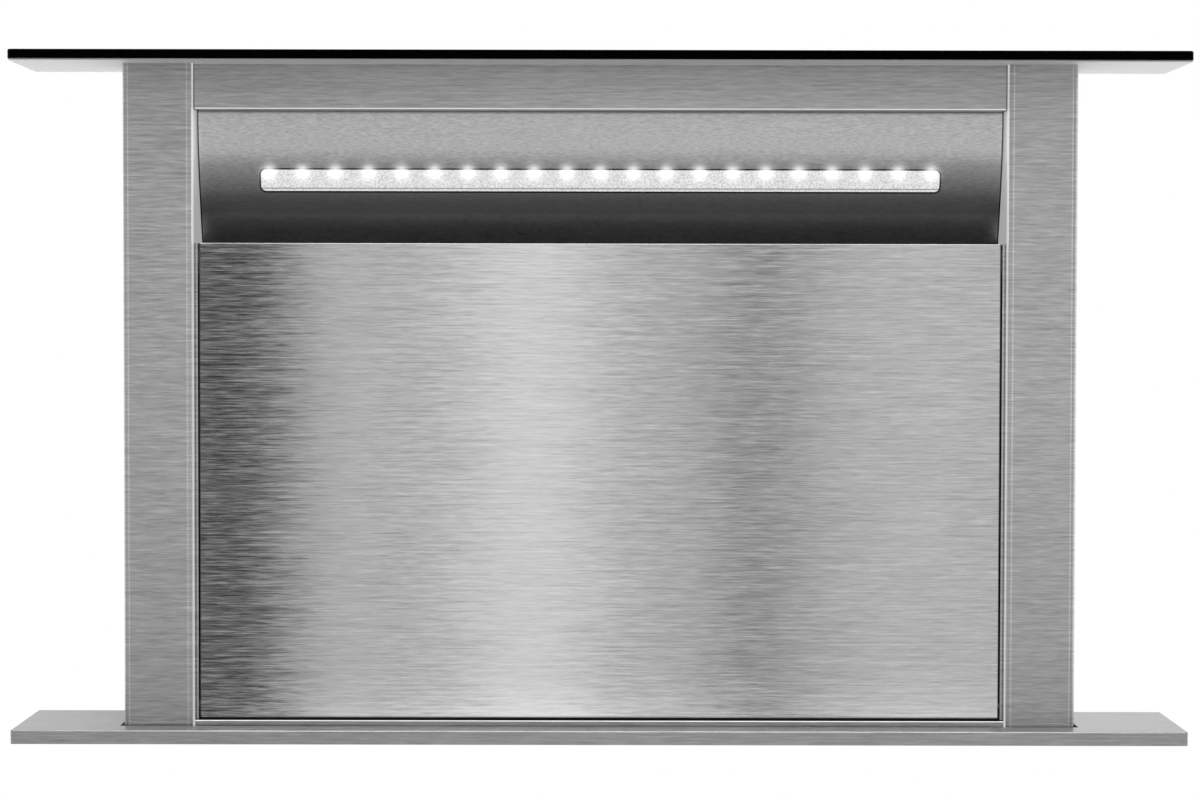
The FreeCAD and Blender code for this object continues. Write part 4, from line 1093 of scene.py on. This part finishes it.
RIBS, CAN_R, CAN_Y, BARE = 32, 44, -144.5, 0.35  # the can is bare on its right, within this sine
templates["rib"] = small_block("rib_template", (-0.0009, -0.0235, -0.001), (0.0009, 0.0235, 0.0020),
                               motor_paint)
spots = []
for i in range(RIBS):
    a = 2 * math.pi * (i + 0.5) / RIBS
    if not -BARE < math.sin(a) < BARE or math.cos(a) < 0:
        out = (math.cos(a), 0, math.sin(a))
        spots.append(((CAN_R * out[0], CAN_Y, FAN_Z + CAN_R * out[2]), out))
scatter("motor_ribs", "rib", "housing", spots, spin=0.0)
print("motor ribs", len(spots))

# %% Beads and louvres
def pressed_bead(bm, middle, length, half, depth, steps=5, around=9):
    """A long rounded swelling of a wall that faces +Y, in millimetres; its foot is sunk 0.1 mm."""
    rings = []
    for k in range(steps + 1):
        a = math.pi / 2 * k / (steps + 0.6)
        y = middle[1] - 0.1 + (depth + 0.1) * math.sin(a)
        ring = []
        for j in range(2 * around):
            end = 1 if j < around else -1
            b = math.pi * ((j % around) / (around - 1) - 0.5)
            x = middle[0] + end * (length / 2 - half + half * math.cos(a) * math.cos(b))
            z = middle[2] + end * half * math.cos(a) * math.sin(b)
            ring.append(bm.verts.new((x / 1000, y / 1000, z / 1000)))
        rings.append(ring)
    skin(bm, rings)


def prism_x(bm, outline, x0, x1):
    """A closed prism along X from (y, z) points."""
    skin(bm, [[bm.verts.new((x, y, z)) for y, z in outline] for x in (x0, x1)])


def louvre():
    """A hooded slot 40 mm wide that opens downward, on a wall that faces +Z."""
    bm = bmesh.new()
    outer = [(0.0040, 0.0), (0.0036, 0.0012), (0.0024, 0.0021), (0.0, 0.0025)]
    inner = [(0.0, 0.0021), (0.0021, 0.0017), (0.0031, 0.0009), (0.0034, 0.0)]
    prism_x(bm, outer + inner, -0.020, 0.020)
    for x in (-0.0204, 0.0200):
        prism_x(bm, outer + [(0.0, 0.0)], x, x + 0.0004)
    return put("louvre_template", bm, zinc, None, 25.0)


bm = bmesh.new()
for z in (-150, -300, -450):
    pressed_bead(bm, (0, WALL_Y[1], z), 560, 6.0, 1.4)
put("back_beads", bm, zinc, "housing", 40.0)
templates["louvre"] = louvre()
templates["slot"] = small_block("slot_template", (-0.0198, 0.0, -0.0003), (0.0198, 0.0020, 0.00005), rubber)
spots = [((x, LID_Y, z), FRONT) for x in (-264, -198) for z in range(-116, -157, -8)]
scatter("lid_louvres", "louvre", "housing", spots, spin=0.0)
scatter("lid_slots", "slot", "housing", spots, spin=0.0)
print("beads 3, louvres", len(spots))

# %% [markdown]
# ## Damper spring and cable gland
# A torsion spring on the damper's pin pushes both flaps shut; its legs lie under the flaps and swing with
# them, so it is two pieces. A bevelled curve would do for the wire, but a sweep in mesh code closes its ends
# and needs no conversion. The gland's cap nut is fluted for the fingers.

# %% Wire sweep
def wire(bm, points, radius, sides=8):
    """A closed round wire along points in millimetres."""
    path = [Vector(p) / 1000 for p in points]
    side = (path[1] - path[0]).orthogonal().normalized()
    rings = []
    for i, p in enumerate(path):
        way = (path[min(i + 1, len(path) - 1)] - path[max(i - 1, 0)]).normalized()
        side = (side - way * side.dot(way)).normalized()
        up = way.cross(side)
        rings.append([bm.verts.new(p + (side * math.cos(a) + up * math.sin(a)) * radius / 1000)
                      for a in [2 * math.pi * k / sides for k in range(sides)]])
    skin(bm, rings)


print("wire sweep ready")

# %% Damper spring
PIN_X, PIN_Z, COIL_Y, COIL_R, COIL_HALF, WIRE_R = 89.3, -614, -106.2, 3.3, 4.0, 0.2
LEG = ((3.19, -0.98), (3.45, -0.86), (4.0, -0.82), (18.0, -0.82), (33.0, -0.82))
TURNS = 14


def spring_leg(side):
    """From the coil's end out below the flap; side is +1 for the right flap."""
    return [(PIN_X + side * x, COIL_Y + side * COIL_HALF, PIN_Z + z) for x, z in LEG]


reach = math.pi * TURNS + math.radians(75)
coil = [(PIN_X + COIL_R * math.sin(t), COIL_Y + COIL_HALF * t / reach, PIN_Z - COIL_R * math.cos(t))
        for t in [reach * (k / (8 * TURNS) - 1) for k in range(16 * TURNS + 1)]]
for name, body, points in (("spring_right", "flap_right", coil + spring_leg(1)),
                           ("spring_left", "flap_left", spring_leg(-1))):
    bm = bmesh.new()
    wire(bm, points, WIRE_R)
    put(name, bm, machine_steel, body, 50.0)
print("spring of", TURNS, "turns, ends", [round(c, 2) for c in coil[0]], [round(c, 2) for c in coil[-1]])

# %% Gland cap
GLAND_X, GLAND_Y, FLUTE, CORNERS = -280, -52, 0.35, 48


def gland_ring(radius, z, flute=0.0):
    """A ring of corners about the gland; every other pair is drawn in by the flute."""
    spokes = [(radius - (flute if k % 4 > 1 else 0), 2 * math.pi * k / CORNERS) for k in range(CORNERS)]
    return [bm.verts.new(((GLAND_X + r * math.cos(a)) / 1000, (GLAND_Y + r * math.sin(a)) / 1000, z / 1000))
            for r, a in spokes]


bm = bmesh.new()
outside = ((7.3, -252.3), (8.2, -251.9), (10.9, -240.6), (10.2, -240.1))
rings = [gland_ring(r, z, FLUTE) for r, z in outside] + [gland_ring(9.4, -240.1), gland_ring(6.2, -252.3)]
skin(bm, rings + rings[:1], caps=False)
put("gland_cap", bm, black_plastic, "housing", 30.0)
print("gland cap ready")
